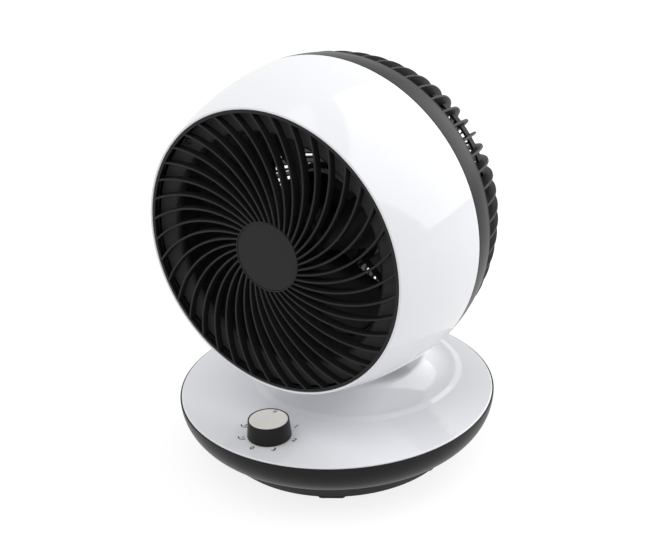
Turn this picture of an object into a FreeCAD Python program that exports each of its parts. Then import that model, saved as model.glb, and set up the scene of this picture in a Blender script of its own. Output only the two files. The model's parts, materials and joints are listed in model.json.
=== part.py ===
import FreeCAD, Part
import Sketcher
import math
import os
import re

V = FreeCAD.Vector

# Driving dimensions in millimetres, degrees and counts
SIZES = {
    # Base, heights above the floor
    "rim_height": 48.5,
    "rim_radius": 125.0,
    "edge_round": 1.1,
    "cover_wall": 2.5,
    "seat_height": 47.4,
    "seat_radius": 119.0,
    "side_radius": 126.2,
    "side_low_radius": 114.6,
    "side_low_height": 22.4,
    "side_wall": 2.5,
    "side_curve": 32.7,
    "plate_radius": 93.6,
    "plate_top_radius": 111.8,
    "plate_height": 2.1,
    "foot_width": 21.0,
    "foot_depth": 9.0,
    "foot_outer": 92.5,
    "foot_count": 6,
    "foot_round": 3.0,
    "ballast_radius": 80.0,
    "ballast_height": 6.0,
    # Pedestal and swing drive, on the axis behind the base's middle
    "swing_offset": 30.0,
    "step_radius": 86.2,
    "step_width": 5.0,
    "step_height": 50.1,
    "flare_radius": 77.4,
    "flare_curve": 27.0,
    "bend_radius": 56.72,
    "bend_height": 59.74,
    "shoulder_curve": 6.0,
    "crown_radius": 52.33,
    "crown_height": 61.88,
    "mouth_height": 62.3,
    "mouth_bore": 40.0,
    "neck_wall": 3.0,
    "table_radius": 39.5,
    "table_height": 62.5,
    "hub_radius": 17.0,
    "hub_low": 46.0,
    "shaft_radius": 12.0,
    "shaft_bore": 8.0,
    "shaft_low": 12.0,
    "running_gap": 0.05,
    "chassis_height": 38.0,
    "chassis_wall": 3.0,
    "chassis_radius": 78.0,
    "bearing_outer": 16.0,
    "bearing_low": 20.5,
    "bearing_top": 43.5,
    "washer_height": 1.1,
    "leg_radius": 4.5,
    "leg_x": 50.0,
    "leg_rear": 55.0,
    "leg_front": 25.0,
    "gear_module": 1.5,
    "gear_teeth": 48,
    "pinion_teeth": 16,
    "gear_low": 13.0,
    "gear_width": 6.0,
    "gear_backlash": 0.4,
    "drive_angle": 215.0,
    "drive_radius": 24.0,
    "drive_axle": 2.5,
    # Electrical pieces in the base
    "electrics_front": -57.0,
    "capacitor_left": 22.0,
    "capacitor_long": 36.0,
    "capacitor_wide": 18.0,
    "capacitor_tall": 25.0,
    "terminal_left": -56.0,
    "terminal_long": 30.0,
    "terminal_wide": 14.0,
    "terminal_tall": 12.0,
    "terminal_pitch": 10.0,
    # Dial
    "knob_offset": 92.7,
    "knob_radius": 17.0,
    "knob_top_radius": 15.8,
    "knob_low": 49.1,
    "knob_top": 63.3,
    "cap_radius": 14.8,
    "cap_depth": 1.3,
    "spindle_radius": 3.0,
    "switch_side": 26.0,
    "switch_low": 31.4,
    "switch_high": 45.4,
    "bushing_radius": 4.4,
    "bushing_top": 50.6,
    # Head, measured forward along its axis from the base's middle
    "head_height": 193.5,
    "face": 79.5,
    "lip_radius": 111.2,
    "lip_bore": 109.6,
    "drum_rear": -5.9,
    "drum_radius": 126.2,
    "drum_curve": 267.3,
    "drum_wall": 2.4,
    "ledge": 69.5,
    "ledge_wall": 3.0,
    "ledge_radius": 100.0,
    "grille_radius": 109.3,
    "grille_ring": 2.3,
    "grille_rear": 73.2,
    "grille_hub": 27.3,
    "grille_crown": 3.0,
    "bar_count": 40,
    "bar_width": 1.6,
    "bar_start_angle": 0.8,
    "bar_mid_radius": 60.0,
    "bar_mid_angle": -20.5,
    "bar_end_angle": -41.5,
    "duct_bore": 88.5,
    "duct_wall": 2.5,
    "duct_front": 72.0,
    "duct_rear": -46.0,
    "duct_flange": 109.0,
    "band_rear": -27.4,
    "band_rear_radius": 122.9,
    "band_curve": 120.0,
    "band_wall": 2.6,
    "guard_count": 60,
    "guard_fin_width": 0.9,
    "guard_fin_depth": 9.2,
    "guard_fin_turn": -1.0,
    "guard_fine_width": 0.8,
    "guard_fine_inset": 5.6,
    "dome_curve": 112.6,
    "dome_curve_out": 11.4,
    "dome_curve_back": -11.2,
    "guard_ring_wall": 1.8,
    "guard_rail": 101.6,
    "guard_rail_rear": -69.6,
    "guard_rail_width": 5.4,
    "guard_mid_ring": 70.0,
    "guard_mid_width": 4.0,
    "guard_cap": 58.0,
    "guard_cap_wall": 3.0,
    "guard_cap_proud": 0.5,
    # Tilt hinge
    "hinge_back": 17.0,
    "hinge_height": 72.0,
    "knuckle_radius": 7.0,
    "knuckle_half": 12.6,
    "ear_inner": 13.8,
    "ear_outer": 20.0,
    "pin_radius": 3.0,
    # Motor and impeller
    "motor_radius": 41.0,
    "motor_wall": 2.5,
    "motor_front": 14.0,
    "motor_split": -8.0,
    "motor_rear": -34.0,
    "core_front": 0.0,
    "core_rear": -20.0,
    "rotor_radius": 19.0,
    "air_gap": 0.5,
    "axle_radius": 4.0,
    "axle_front": 54.0,
    "axle_rear": -36.0,
    "blade_count": 5,
    "blade_tip": 85.0,
    "blade_hub": 26.0,
    "blade_front": 50.0,
    "blade_rear": 20.0,
    "blade_wall": 2.2,
    "blade_root_chord": 34.0,
    "blade_tip_chord": 56.0,
    "blade_root_pitch": 52.0,
    "blade_tip_pitch": 28.0,
    "blade_camber": 0.08,
    "blade_sweep": 10.0,
}

doc = FreeCAD.newDocument("table_fan")
sheet = doc.addObject("Spreadsheet::Sheet", "dims")
for row, (alias, value) in enumerate(SIZES.items(), start=1):
    sheet.set("A%d" % row, alias)
    sheet.set("B%d" % row, str(value))
    sheet.setAlias("B%d" % row, alias)
doc.recompute()


def bound(text):
    """The expression that reads the sheet for a formula written in plain aliases."""
    return re.sub(r"\b([a-z][a-z_]+)\b(?!\()", r"dims.\1", str(text))


def size(text):
    """The number that such a formula gives now."""
    return float(sheet.evalExpression(bound(text)))


def bind(item, **formulas):
    """Bind properties of an object to the sheet; double underscores stand for dots."""
    for name, text in formulas.items():
        item.setExpression(name.replace("__", "."), bound(text))
    return item


# The three turning axes: where each stands and which way its outline's two directions point
UPRIGHT = FreeCAD.Rotation(V(1, 0, 0), 90)
FORWARD = FreeCAD.Rotation(V(0, -1, 0), V(0, 0, 1), V(-1, 0, 0), "XYZ")
AXES = {
    "base": (UPRIGHT, V(0, 0, 1), {}),
    "swing": (UPRIGHT, V(0, 0, 1), {"y": "swing_offset"}),
    "head": (FORWARD, V(0, -1, 0), {"z": "head_height"}),
}


def draw(sketch, corners, arcs):
    """Close an outline through corners; arcs maps an edge to its radius and the side it bulges to."""
    points = [V(size(u), size(v), 0) for u, v in corners]
    ends = []
    for edge, start in enumerate(points):
        stop = points[(edge + 1) % len(points)]
        if edge in arcs:
            text, side = arcs[edge]
            radius = size(text)
            chord = stop - start
            across = V(-chord.y, chord.x, 0).normalize()
            rise = radius - math.sqrt(radius ** 2 - (chord.Length / 2) ** 2)
            middle = (start + stop) * 0.5 + across * (side * rise)
            sketch.addGeometry(Part.Arc(start, middle, stop), False)
            bend = sketch.addConstraint(Sketcher.Constraint("Radius", edge, radius))
            sketch.setExpression("Constraints[%d]" % bend, bound(text))
            ends.append((2, 1) if side > 0 else (1, 2))
        else:
            sketch.addGeometry(Part.LineSegment(start, stop), False)
            ends.append((1, 2))
    for edge, (u, v) in enumerate(corners):
        before = (edge - 1) % len(corners)
        first = ends[edge][0]
        sketch.addConstraint(Sketcher.Constraint("Coincident", before, ends[before][1], edge, first))
        for kind, text in (("DistanceX", u), ("DistanceY", v)):
            held = sketch.addConstraint(Sketcher.Constraint(kind, -1, 1, edge, first, size(text)))
            sketch.setExpression("Constraints[%d]" % held, bound(text))


def turned(name, axis, corners, arcs=None):
    """A solid turned about one of the axes from an outline given as (along or radius, ...) corners."""
    rotation, direction, place = AXES[axis]
    sketch = doc.addObject("Sketcher::SketchObject", name + "_outline")
    sketch.Placement = FreeCAD.Placement(V(0, 0, 0), rotation)
    solid = doc.addObject("Part::Revolution", name)
    for letter, text in place.items():
        sketch.setExpression("Placement.Base." + letter, bound(text))
        solid.setExpression("Base." + letter, bound(text))
    draw(sketch, corners, arcs or {})
    solid.Source = sketch
    solid.Axis = direction
    solid.Angle = 360
    solid.Solid = True
    return solid


# Directions for rods: up, to the fan's left, and forward along the head's axis
UP = FreeCAD.Rotation()
ACROSS = FreeCAD.Rotation(V(0, 1, 0), 90)
AHEAD = FreeCAD.Rotation(V(1, 0, 0), 90)


def rod(name, radius, length, at, way=UP):
    """A round bar that starts at a point and runs along a direction."""
    item = doc.addObject("Part::Cylinder", name)
    item.Placement = FreeCAD.Placement(V(0, 0, 0), way)
    bind(item, Radius=radius, Height=length)
    return bind(item, Placement__Base__x=at[0], Placement__Base__y=at[1], Placement__Base__z=at[2])


def block(name, low, spans):
    """A box from its lowest corner and its three spans."""
    item = doc.addObject("Part::Box", name)
    bind(item, Length=spans[0], Width=spans[1], Height=spans[2])
    return bind(item, Placement__Base__x=low[0], Placement__Base__y=low[1], Placement__Base__z=low[2])


def joined(name, *pieces):
    item = doc.addObject("Part::MultiFuse", name)
    item.Shapes = list(pieces)
    return item


def group(name, *pieces):
    item = doc.addObject("Part::Compound", name)
    item.Links = list(pieces)
    return item


def cut(name, base, *tools):
    item = doc.addObject("Part::Cut", name)
    item.Base = base
    item.Tool = tools[0] if len(tools) == 1 else group(name + "_tools", *tools)
    return item


def shaped(name, shape):
    item = doc.addObject("Part::Feature", name)
    item.Shape = shape
    return item


# Base: white cover with its low round platform and flared neck
cover_disc = turned("cover_disc", "base", [
    ("0", "rim_height - cover_wall"),
    ("seat_radius - 0.5", "rim_height - cover_wall"),
    ("seat_radius - 0.5", "seat_height"),
    ("rim_radius", "seat_height"),
    ("rim_radius - edge_round", "rim_height"),
    ("0", "rim_height"),
], {3: ("edge_round", -1)})
cover_opening = rod("cover_opening", "flare_radius + 2", "20", ("0", "swing_offset", "rim_height - 10"))
cover_flare = turned("cover_flare", "swing", [
    ("step_radius", "rim_height - cover_wall"),
    ("step_radius", "rim_height"),
    ("step_radius - step_width", "step_height"),
    ("flare_radius", "step_height"),
    ("bend_radius", "bend_height"),
    ("crown_radius", "crown_height"),
    ("mouth_bore", "mouth_height"),
    ("mouth_bore", "mouth_height - neck_wall"),
    ("crown_radius", "crown_height - neck_wall"),
    ("bend_radius", "bend_height - neck_wall"),
    ("flare_radius", "step_height - cover_wall"),
    ("flare_radius + 2", "rim_height - cover_wall"),
], {3: ("flare_curve", 1), 4: ("shoulder_curve", -1), 9: ("flare_curve + cover_wall", -1)})
switch_hole = rod("switch_hole", "bushing_radius + 0.2", "20", ("0", "-knob_offset", "rim_height - 10"))
cover_step = turned("cover_step", "base", [
    ("seat_radius - 0.5", "seat_height - 4"),
    ("side_radius + 4", "seat_height - 4"),
    ("side_radius + 4", "seat_height"),
    ("seat_radius - 0.5", "seat_height"),
])
base_cover = cut(
    "base_cover",
    joined("cover_whole", cut("cover_ring", cover_disc, cover_opening), cover_flare),
    switch_hole,
    cover_step,
)

# Base: dark side shell, bottom plate, feet and ballast
side_turned = turned("side_turned", "base", [
    ("side_radius", "seat_height"),
    ("side_low_radius", "side_low_height"),
    ("side_low_radius - 8.6", "side_low_height"),
    ("side_low_radius - 8.6", "side_low_height + side_wall"),
    ("side_low_radius - 1.1", "side_low_height + side_wall"),
    ("side_radius - side_wall - 0.1", "seat_height - 2.4"),
    ("seat_radius", "seat_height - 2.4"),
    ("seat_radius", "seat_height"),
], {0: ("side_curve", 1), 4: ("side_curve - side_wall", -1)})
inlet_height = "side_low_height + 13.6"
inlet_hole = rod("inlet_hole", "5.2", "20", ("0", "side_radius + 4", inlet_height), AHEAD)
base_lower_shell = cut("base_lower_shell", side_turned, inlet_hole)
grommet_blank = rod("grommet_blank", "7.4", "8", ("0", "side_radius - 0.1", inlet_height), AHEAD)
grommet_bore = rod("grommet_bore", "3.2", "20", ("0", "side_radius + 4", inlet_height), AHEAD)
cord_grommet = cut("cord_grommet", grommet_blank, base_lower_shell, grommet_bore)

plate_turned = turned("plate_turned", "base", [
    ("0", "plate_height"),
    ("plate_radius", "plate_height"),
    ("plate_top_radius", "side_low_height - 2"),
    ("plate_top_radius", "side_low_height"),
    ("plate_top_radius - 5.3", "side_low_height"),
    ("plate_top_radius - 5.3", "side_low_height - 3.4"),
    ("plate_radius - 2.1", "plate_height + side_wall"),
    ("0", "plate_height + side_wall"),
])
LEG_SPOTS = [(x, y) for y in ("leg_rear", "-leg_front") for x in ("leg_x", "-leg_x")]
screw_radius = "1.75"


def leg_holes(name, low, length):
    spots = enumerate(LEG_SPOTS)
    return [rod("%s_%d" % (name, n), screw_radius, length, (x, y, low)) for n, (x, y) in spots]


bottom_plate = cut("bottom_plate", plate_turned, *leg_holes("plate_hole", "0", "10"))
ballast_disc = rod("ballast_disc", "ballast_radius", "ballast_height", ("0", "0", "plate_height + side_wall"))
ballast_plate = cut("ballast_plate", ballast_disc, *leg_holes("ballast_hole", "0", "20"))
ballast_top = "plate_height + side_wall + ballast_height"

feet = []
for n in range(int(size("foot_count"))):
    low = ("-foot_width / 2", "-foot_outer", "0")
    pad = block("foot_pad_%d" % n, low, ("foot_width", "foot_depth", "plate_height"))
    foot = doc.addObject("Part::Fillet", "foot_%d" % n)
    foot.Base = pad
    doc.recompute()
    edges = enumerate(pad.Shape.Edges, start=1)
    upright = [k for k, edge in edges if abs(edge.tangentAt(edge.FirstParameter).z) > 0.9]
    foot.Edges = [(k, size("foot_round"), size("foot_round")) for k in upright]
    turn = 360.0 / size("foot_count") * (n + 0.5)
    foot.Placement = FreeCAD.Placement(V(0, 0, 0), FreeCAD.Rotation(V(0, 0, 1), turn))
    feet.append(foot)
rubber_feet = group("rubber_feet", *feet)

base_screw_parts = []
for n, (x, y) in enumerate(LEG_SPOTS):
    head = rod("base_screw_head_%d" % n, "3.5", "1.6", (x, y, "plate_height - 1.6"))
    shank = rod("base_screw_shank_%d" % n, screw_radius, "20", (x, y, "plate_height - 0.2"))
    base_screw_parts.append(joined("base_screw_%d" % n, head, shank))
base_screws = group("base_screws", *base_screw_parts)

# Swing drive: chassis with bearing tube, shaft, wheel, pinion and motor
chassis_disc = rod("chassis_disc", "chassis_radius", "chassis_wall", ("0", "swing_offset", "chassis_height"))
bearing_tube = rod(
    "bearing_tube", "bearing_outer", "bearing_top - bearing_low", ("0", "swing_offset", "bearing_low"))
legs = [
    rod("chassis_leg_%d" % n, "leg_radius", "chassis_height + 1 - (%s)" % ballast_top, (x, y, ballast_top))
    for n, (x, y) in enumerate(LEG_SPOTS)
]
bearing_bore = rod(
    "bearing_bore", "shaft_radius + running_gap", "60", ("0", "swing_offset", "0"))
chassis_frame = cut(
    "chassis_frame",
    joined("chassis_whole", chassis_disc, bearing_tube, *legs),
    bearing_bore,
    *leg_holes("chassis_hole", "0", "plate_height + 19.8"),
)
thrust_washer = turned("thrust_washer", "swing", [
    ("shaft_radius + 0.4", "bearing_top"),
    ("hub_radius - 1", "bearing_top"),
    ("hub_radius - 1", "bearing_top + washer_height"),
    ("shaft_radius + 0.4", "bearing_top + washer_height"),
])
pan_shaft = turned("pan_shaft", "swing", [
    ("shaft_bore", "shaft_low"),
    ("shaft_radius", "shaft_low"),
    ("shaft_radius", "bearing_top + washer_height + 0.1"),
    ("hub_radius - 1", "bearing_top + washer_height + 0.1"),
    ("hub_radius - 1", "hub_low"),
    ("shaft_bore", "hub_low"),
])
turntable_turned = turned("turntable_turned", "swing", [
    ("shaft_bore", "hub_low"),
    ("hub_radius", "hub_low"),
    ("hub_radius", "table_height - 2.8"),
    ("table_radius - 2.4", "table_height - 2.8"),
    ("table_radius - 2.4", "table_height - 6"),
    ("table_radius", "table_height - 6"),
    ("table_radius", "table_height - 2"),
    ("table_radius - 2", "table_height"),
    ("shaft_bore", "table_height"),
], {6: ("2", -1)})
lead_gland = turned("lead_gland", "swing", [
    ("3.2", "table_height - 6"),
    ("shaft_bore", "table_height - 6"),
    ("shaft_bore", "table_height"),
    ("shaft_bore + 2", "table_height"),
    ("shaft_bore + 2", "table_height + 0.4"),
    ("shaft_bore + 1.6", "table_height + 0.8"),
    ("3.2", "table_height + 0.8"),
], {4: ("0.4", -1)})
ear_middle = "(ear_inner + ear_outer) / 2"
fork_screw_radius = "1.6"


def fork_rods(name, radius, low, length):
    return [
        rod("%s_%s" % (name, side), radius, length, (sign + "(" + ear_middle + ")", "hinge_back", low))
        for side, sign in (("left", ""), ("right", "-"))
    ]


turntable = cut("turntable", turntable_turned, *fork_rods("table_hole", fork_screw_radius, "0", "100"))


def involute_gear(teeth, module, backlash, width):
    """A spur gear standing on the origin, with a tooth centred on +X."""
    pressure = math.radians(20.0)
    pitch = teeth * module / 2
    tip = pitch + 0.8 * module
    root = pitch - 1.1 * module
    base = pitch * math.cos(pressure)
    half_tooth = math.pi / (2 * teeth) - backlash / (2 * pitch)
    involute_at_pitch = math.tan(pressure) - pressure

    def flank(radius):
        swing = math.acos(min(1.0, base / radius))
        return half_tooth + involute_at_pitch - (math.tan(swing) - swing)

    def spot(radius, angle):
        return V(radius * math.cos(angle), radius * math.sin(angle), 0)

    first = max(base, root)
    steps = [first + (tip - first) * k / 3.0 for k in range(4)]
    edges = []
    for tooth in range(teeth):
        centre = 2 * math.pi * tooth / teeth
        rising = [spot(r, centre - flank(r)) for r in steps]
        falling = [spot(r, centre + flank(r)) for r in reversed(steps)]
        low_start = spot(root, centre - flank(first))
        low_stop = spot(root, centre + flank(first))
        next_start = spot(root, centre + 2 * math.pi / teeth - flank(first))
        valley = spot(root, centre + math.pi / teeth)
        for points in (rising, falling):
            curve = Part.BSplineCurve()
            curve.interpolate(points)
            edges.append(curve.toShape())
        edges.append(Part.Arc(rising[-1], spot(tip, centre), falling[0]).toShape())
        if base > root:
            edges.append(Part.makeLine(low_start, rising[0]))
            edges.append(Part.makeLine(falling[-1], low_stop))
        edges.append(Part.Arc(low_stop, valley, next_start).toShape())
    outline = Part.Wire(Part.__sortEdges__(edges))
    return Part.Face(outline).extrude(V(0, 0, width))


drive = math.radians(size("drive_angle"))
centre_distance = size("gear_module * (gear_teeth + pinion_teeth) / 2")
swing_axis = V(0, size("swing_offset"), 0)
pinion_axis = swing_axis + V(math.cos(drive), math.sin(drive), 0) * centre_distance
gear_width = size("gear_width")
wheel = involute_gear(int(size("gear_teeth")), size("gear_module"), size("gear_backlash"), gear_width)
wheel = wheel.cut(Part.makeCylinder(size("shaft_radius"), gear_width))
pan_gear = shaped("pan_gear", wheel)
pan_gear.Placement = FreeCAD.Placement(
    swing_axis + V(0, 0, size("gear_low")), FreeCAD.Rotation(V(0, 0, 1), size("drive_angle")))
small = involute_gear(int(size("pinion_teeth")), size("gear_module"), size("gear_backlash"), gear_width)
drive_shaft = Part.makeCylinder(size("drive_axle"), gear_width + 12, V(0, 0, 0))
pan_pinion = shaped("pan_pinion", small.fuse(drive_shaft).removeSplitter())
half_pitch = 180.0 / size("pinion_teeth")
pan_pinion.Placement = FreeCAD.Placement(
    pinion_axis + V(0, 0, size("gear_low")),
    FreeCAD.Rotation(V(0, 0, 1), size("drive_angle") + 180 + half_pitch))
drive_low = "gear_low + gear_width + 2"
reach = "gear_module * (gear_teeth + pinion_teeth) / 2"
drive_x = reach + " * cos(drive_angle)"
drive_y = "swing_offset + " + reach + " * sin(drive_angle)"
drive_can = rod(
    "drive_can", "drive_radius", "chassis_height - (%s)" % drive_low, (drive_x, drive_y, drive_low))
drive_bore = rod(
    "drive_bore", "drive_axle + running_gap", "13", (drive_x, drive_y, "%s - 1" % drive_low))
pan_motor = cut("pan_motor", drive_can, drive_bore)

# Electrical pieces that stand on the ballast
run_capacitor = doc.addObject("Part::Fillet", "run_capacitor")
run_capacitor.Base = block(
    "capacitor_box", ("capacitor_left", "electrics_front", ballast_top),
    ("capacitor_long", "capacitor_wide", "capacitor_tall"))
doc.recompute()
run_capacitor.Edges = [(k, 2.0, 2.0) for k in range(1, 13)]
terminal_base = block(
    "terminal_base", ("terminal_left", "electrics_front", ballast_top),
    ("terminal_long", "terminal_wide", "terminal_tall"))
terminal_wells = []
for n in range(3):
    well = ("terminal_left + terminal_pitch * %.1f" % (n + 0.5), "electrics_front + terminal_wide / 2",
            ballast_top + " + 5")
    terminal_wells.append(rod("terminal_well_%d" % n, "2.6", "8", well))
terminal_block = cut("terminal_block", terminal_base, *terminal_wells)

# Dial: switch, nut and spindle under it
switch_box = block(
    "switch_box", ("-switch_side / 2", "-knob_offset - switch_side / 2", "switch_low"),
    ("switch_side", "switch_side", "switch_high - switch_low"))
switch_bushing = rod(
    "switch_bushing", "bushing_radius", "bushing_top - switch_high + 1",
    ("0", "-knob_offset", "switch_high - 1"))
switch_bore = rod(
    "switch_bore", "spindle_radius + running_gap", "40", ("0", "-knob_offset", "switch_low + 3"))
rotary_switch = cut("rotary_switch", joined("switch_whole", switch_box, switch_bushing), switch_bore)
nut_prism = doc.addObject("Part::Prism", "nut_prism")
nut_prism.Polygon = 6
bind(nut_prism, Circumradius="bushing_radius + 2.4", Height="2", Placement__Base__y="-knob_offset",
     Placement__Base__z="rim_height")
nut_bore = rod("nut_bore", "bushing_radius", "10", ("0", "-knob_offset", "rim_height - 4"))
switch_nut = cut("switch_nut", nut_prism, nut_bore)
spindle_top = "knob_top - cap_depth - 2"
switch_spindle = rod(
    "switch_spindle", "spindle_radius", "%s - switch_low - 4" % spindle_top,
    ("0", "-knob_offset", "switch_low + 4"))

knob_body = doc.addObject("PartDesign::Body", "knob_body")
knob_plane = [f for f in knob_body.Origin.OriginFeatures if f.Role == "XZ_Plane"][0]
knob_outline = knob_body.newObject("Sketcher::SketchObject", "knob_outline")
knob_outline.AttachmentSupport = [(knob_plane, "")]
knob_outline.MapMode = "FlatFace"
draw(knob_outline, [
    ("spindle_radius", "knob_low + 4"),
    ("spindle_radius + 3", "knob_low + 4"),
    ("spindle_radius + 3", spindle_top),
    ("knob_top_radius - 1.8", spindle_top),
    ("knob_radius - 2", "knob_low"),
    ("knob_radius", "knob_low"),
    ("knob_top_radius", "knob_top"),
    ("cap_radius + 0.1", "knob_top"),
    ("cap_radius + 0.1", "knob_top - cap_depth"),
    ("0", "knob_top - cap_depth"),
    ("0", spindle_top),
    ("spindle_radius", spindle_top),
], {})
knob_turn = knob_body.newObject("PartDesign::Revolution", "knob_turn")
knob_turn.Profile = knob_outline
knob_turn.ReferenceAxis = (knob_outline, ["V_Axis"])
knob_turn.Angle = 360
bind(knob_body, Placement__Base__y="-knob_offset")
knob_cap = rod("knob_cap", "cap_radius", "cap_depth - 0.1", ("0", "-knob_offset", "knob_top - cap_depth"))

# Tilt hinge: fork and pin on the turntable, bracket on the head
fork_floor = "hinge_height - knuckle_radius - 0.6"
fork_low = block(
    "fork_low", ("-ear_outer", "hinge_back - knuckle_radius", "table_height"),
    ("2 * ear_outer", "2 * knuckle_radius", "%s - table_height" % fork_floor))
ears = []
for side, start in (("left", "ear_inner"), ("right", "-ear_outer")):
    thick = "ear_outer - ear_inner"
    post = block("ear_post_" + side, (start, "hinge_back - knuckle_radius", "table_height"),
                 (thick, "2 * knuckle_radius", "hinge_height - table_height"))
    crown = rod("ear_crown_" + side, "knuckle_radius", thick, (start, "hinge_back", "hinge_height"), ACROSS)
    ears += [post, crown]


def hinge_rod(name, radius, length, start):
    """A rod along the hinge's own axis, from a place across the fan."""
    return rod(name, radius, length, (start, "hinge_back", "hinge_height"), ACROSS)


fork_pin_hole = hinge_rod("fork_pin_hole", "pin_radius", "4 * ear_outer", "-2 * ear_outer")
fork_tap_depth = "4"
fork_lead_notch = rod("fork_lead_notch", "shaft_bore + 2.3", "8", ("0", "swing_offset", "table_height - 1"))
neck_fork = cut(
    "neck_fork", joined("fork_whole", fork_low, *ears), fork_pin_hole, fork_lead_notch,
    *fork_rods("fork_tap", fork_screw_radius, "table_height - 1", fork_tap_depth + " + 1"))
fork_screw_parts = []
fork_shanks = fork_rods("fork_shank", fork_screw_radius, "table_height - 3", fork_tap_depth + " + 3")
fork_heads = fork_rods("fork_head", "3", "table_height - 4.4", "1.6")
for n, pair in enumerate(zip(fork_shanks, fork_heads)):
    fork_screw_parts.append(joined("fork_screw_%d" % n, *pair))
fork_screws = group("fork_screws", *fork_screw_parts)
pin_shank = hinge_rod("pin_shank", "pin_radius", "2 * ear_outer + 1.5", "-ear_outer - 1.5")
pin_head = hinge_rod("pin_head", "pin_radius + 2", "1.6", "ear_outer")
tilt_pin = joined("tilt_pin", pin_shank, pin_head)
washers = []
for side, start in (("left", "knuckle_half + 0.3"), ("right", "-ear_inner")):
    disc = hinge_rod("washer_disc_" + side, "knuckle_radius - 0.5", "ear_inner - knuckle_half - 0.3", start)
    hole = hinge_rod("washer_hole_" + side, "pin_radius + 0.1", "10", start + " - 4")
    washers.append(cut("washer_" + side, disc, hole))
tilt_washers = group("tilt_washers", *washers)

duct_outer = "duct_bore + duct_wall"
knuckle = hinge_rod("knuckle", "knuckle_radius", "2 * knuckle_half", "-knuckle_half")
arm_half = "5"
bracket_arm = block(
    "bracket_arm", ("-knuckle_half", "hinge_back - %s" % arm_half, "hinge_height"),
    ("2 * knuckle_half", "2 * %s" % arm_half, "head_height - (%s) - hinge_height + 4" % duct_outer))
bracket_saddle = block(
    "bracket_saddle", ("-24", "hinge_back - 8", "head_height - (%s) - 3" % duct_outer), ("48", "16", "10"))
bracket_round = rod("bracket_round", duct_outer, "120", ("0", "80", "head_height"), AHEAD)
knuckle_bore = hinge_rod("knuckle_bore", "pin_radius + running_gap", "4 * knuckle_half", "-2 * knuckle_half")
bracket_whole = joined("bracket_whole", knuckle, bracket_arm, bracket_saddle)
tilt_bracket = cut("tilt_bracket", bracket_whole, bracket_round, knuckle_bore)

# Head: white drum, dark band and duct
drum_inner = "drum_curve - drum_wall"
shell_turned = turned("shell_turned", "head", [
    ("face", "lip_radius"),
    ("drum_rear", "drum_radius"),
    ("drum_rear", "drum_radius - drum_wall"),
    ("ledge - ledge_wall", "lip_radius + 1.3"),
    ("ledge - ledge_wall", "ledge_radius"),
    ("ledge", "ledge_radius"),
    ("ledge", "lip_bore"),
    ("face", "lip_bore"),
], {0: ("drum_curve", -1), 2: (drum_inner, 1)})

spigot_radius = "drum_radius - drum_wall - 0.5"
band_turned = turned("band_turned", "head", [
    ("drum_rear - 0.2", "drum_radius"),
    ("band_rear", "band_rear_radius"),
    ("band_rear", "band_rear_radius - band_wall"),
    ("drum_rear - 6", "%s - 2.3" % spigot_radius),
    ("drum_rear + 7.4", "%s - 2.3" % spigot_radius),
    ("drum_rear + 7.4", spigot_radius),
    ("drum_rear - 0.2", spigot_radius),
], {0: ("band_curve", -1)})
band_notch = block(
    "band_notch", ("-ear_outer - 5", "-drum_rear + 1.7", "hinge_height - 12"),
    ("2 * ear_outer + 10", "-band_rear", "20"))
rear_cover = cut("rear_cover", band_turned, band_notch)

duct_turned = turned("duct_turned", "head", [
    ("duct_rear", "duct_bore"),
    ("duct_front", "duct_bore"),
    ("duct_front", "duct_flange"),
    ("ledge", "duct_flange"),
    ("ledge", duct_outer),
    ("duct_rear", duct_outer),
])
flange_screw_at = size("ledge_radius") + 3.5
flange_screw_radius = 1.25


def flange_pins(radius, start, length):
    """Four pins round the duct flange, along the head's axis."""
    pins = []
    for n in range(4):
        angle = math.radians(45 + 90 * n)
        at = V(flange_screw_at * math.sin(angle), -start,
               size("head_height") + flange_screw_at * math.cos(angle))
        pins.append(Part.makeCylinder(radius, length, at, V(0, -1, 0)))
    return pins


screw_start = size("ledge - ledge_wall - 2")
screw_length = size("duct_front") - screw_start
screw_pins = flange_pins(flange_screw_radius, screw_start, screw_length)
screw_holes = shaped("flange_holes", Part.makeCompound(screw_pins))
air_duct = cut("air_duct", duct_turned, screw_holes)
front_shell = cut("front_shell", shell_turned, screw_holes)
screw_heads = flange_pins(2 * flange_screw_radius, size("duct_front"), 1.0)
head_screw_solids = [pin.fuse(top).removeSplitter() for pin, top in zip(screw_pins, screw_heads)]
head_screws = shaped("head_screws", Part.makeCompound(head_screw_solids))

# Head: front guard with spiral bars
face = size("face")
hub = size("grille_hub")
ring_outer = size("grille_radius")
ring_inner = ring_outer - size("grille_ring")
guard_rear = size("grille_rear")
crown = size("grille_crown")


def polar(radius, degrees):
    """A point on the guard's face, degrees clockwise from the top as seen from the front."""
    return V(radius * math.sin(math.radians(degrees)), radius * math.cos(math.radians(degrees)), 0)


bar_from = polar(hub - 1, size("bar_start_angle"))
bar_mid = polar(size("bar_mid_radius"), size("bar_mid_angle"))
bar_to = polar(ring_inner + 1, size("bar_end_angle"))
bar_circle = Part.Arc(bar_from, bar_mid, bar_to).toShape().Curve
half_bar = size("bar_width") / 2


def beside(offset):
    """The bar's middle line shifted sideways, as an arc about the same centre."""
    centre = bar_circle.Center
    moved = []
    for point in (bar_from, bar_mid, bar_to):
        outward = point - centre
        moved.append(centre + outward.normalize() * (bar_circle.Radius + offset))
    return moved


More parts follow.
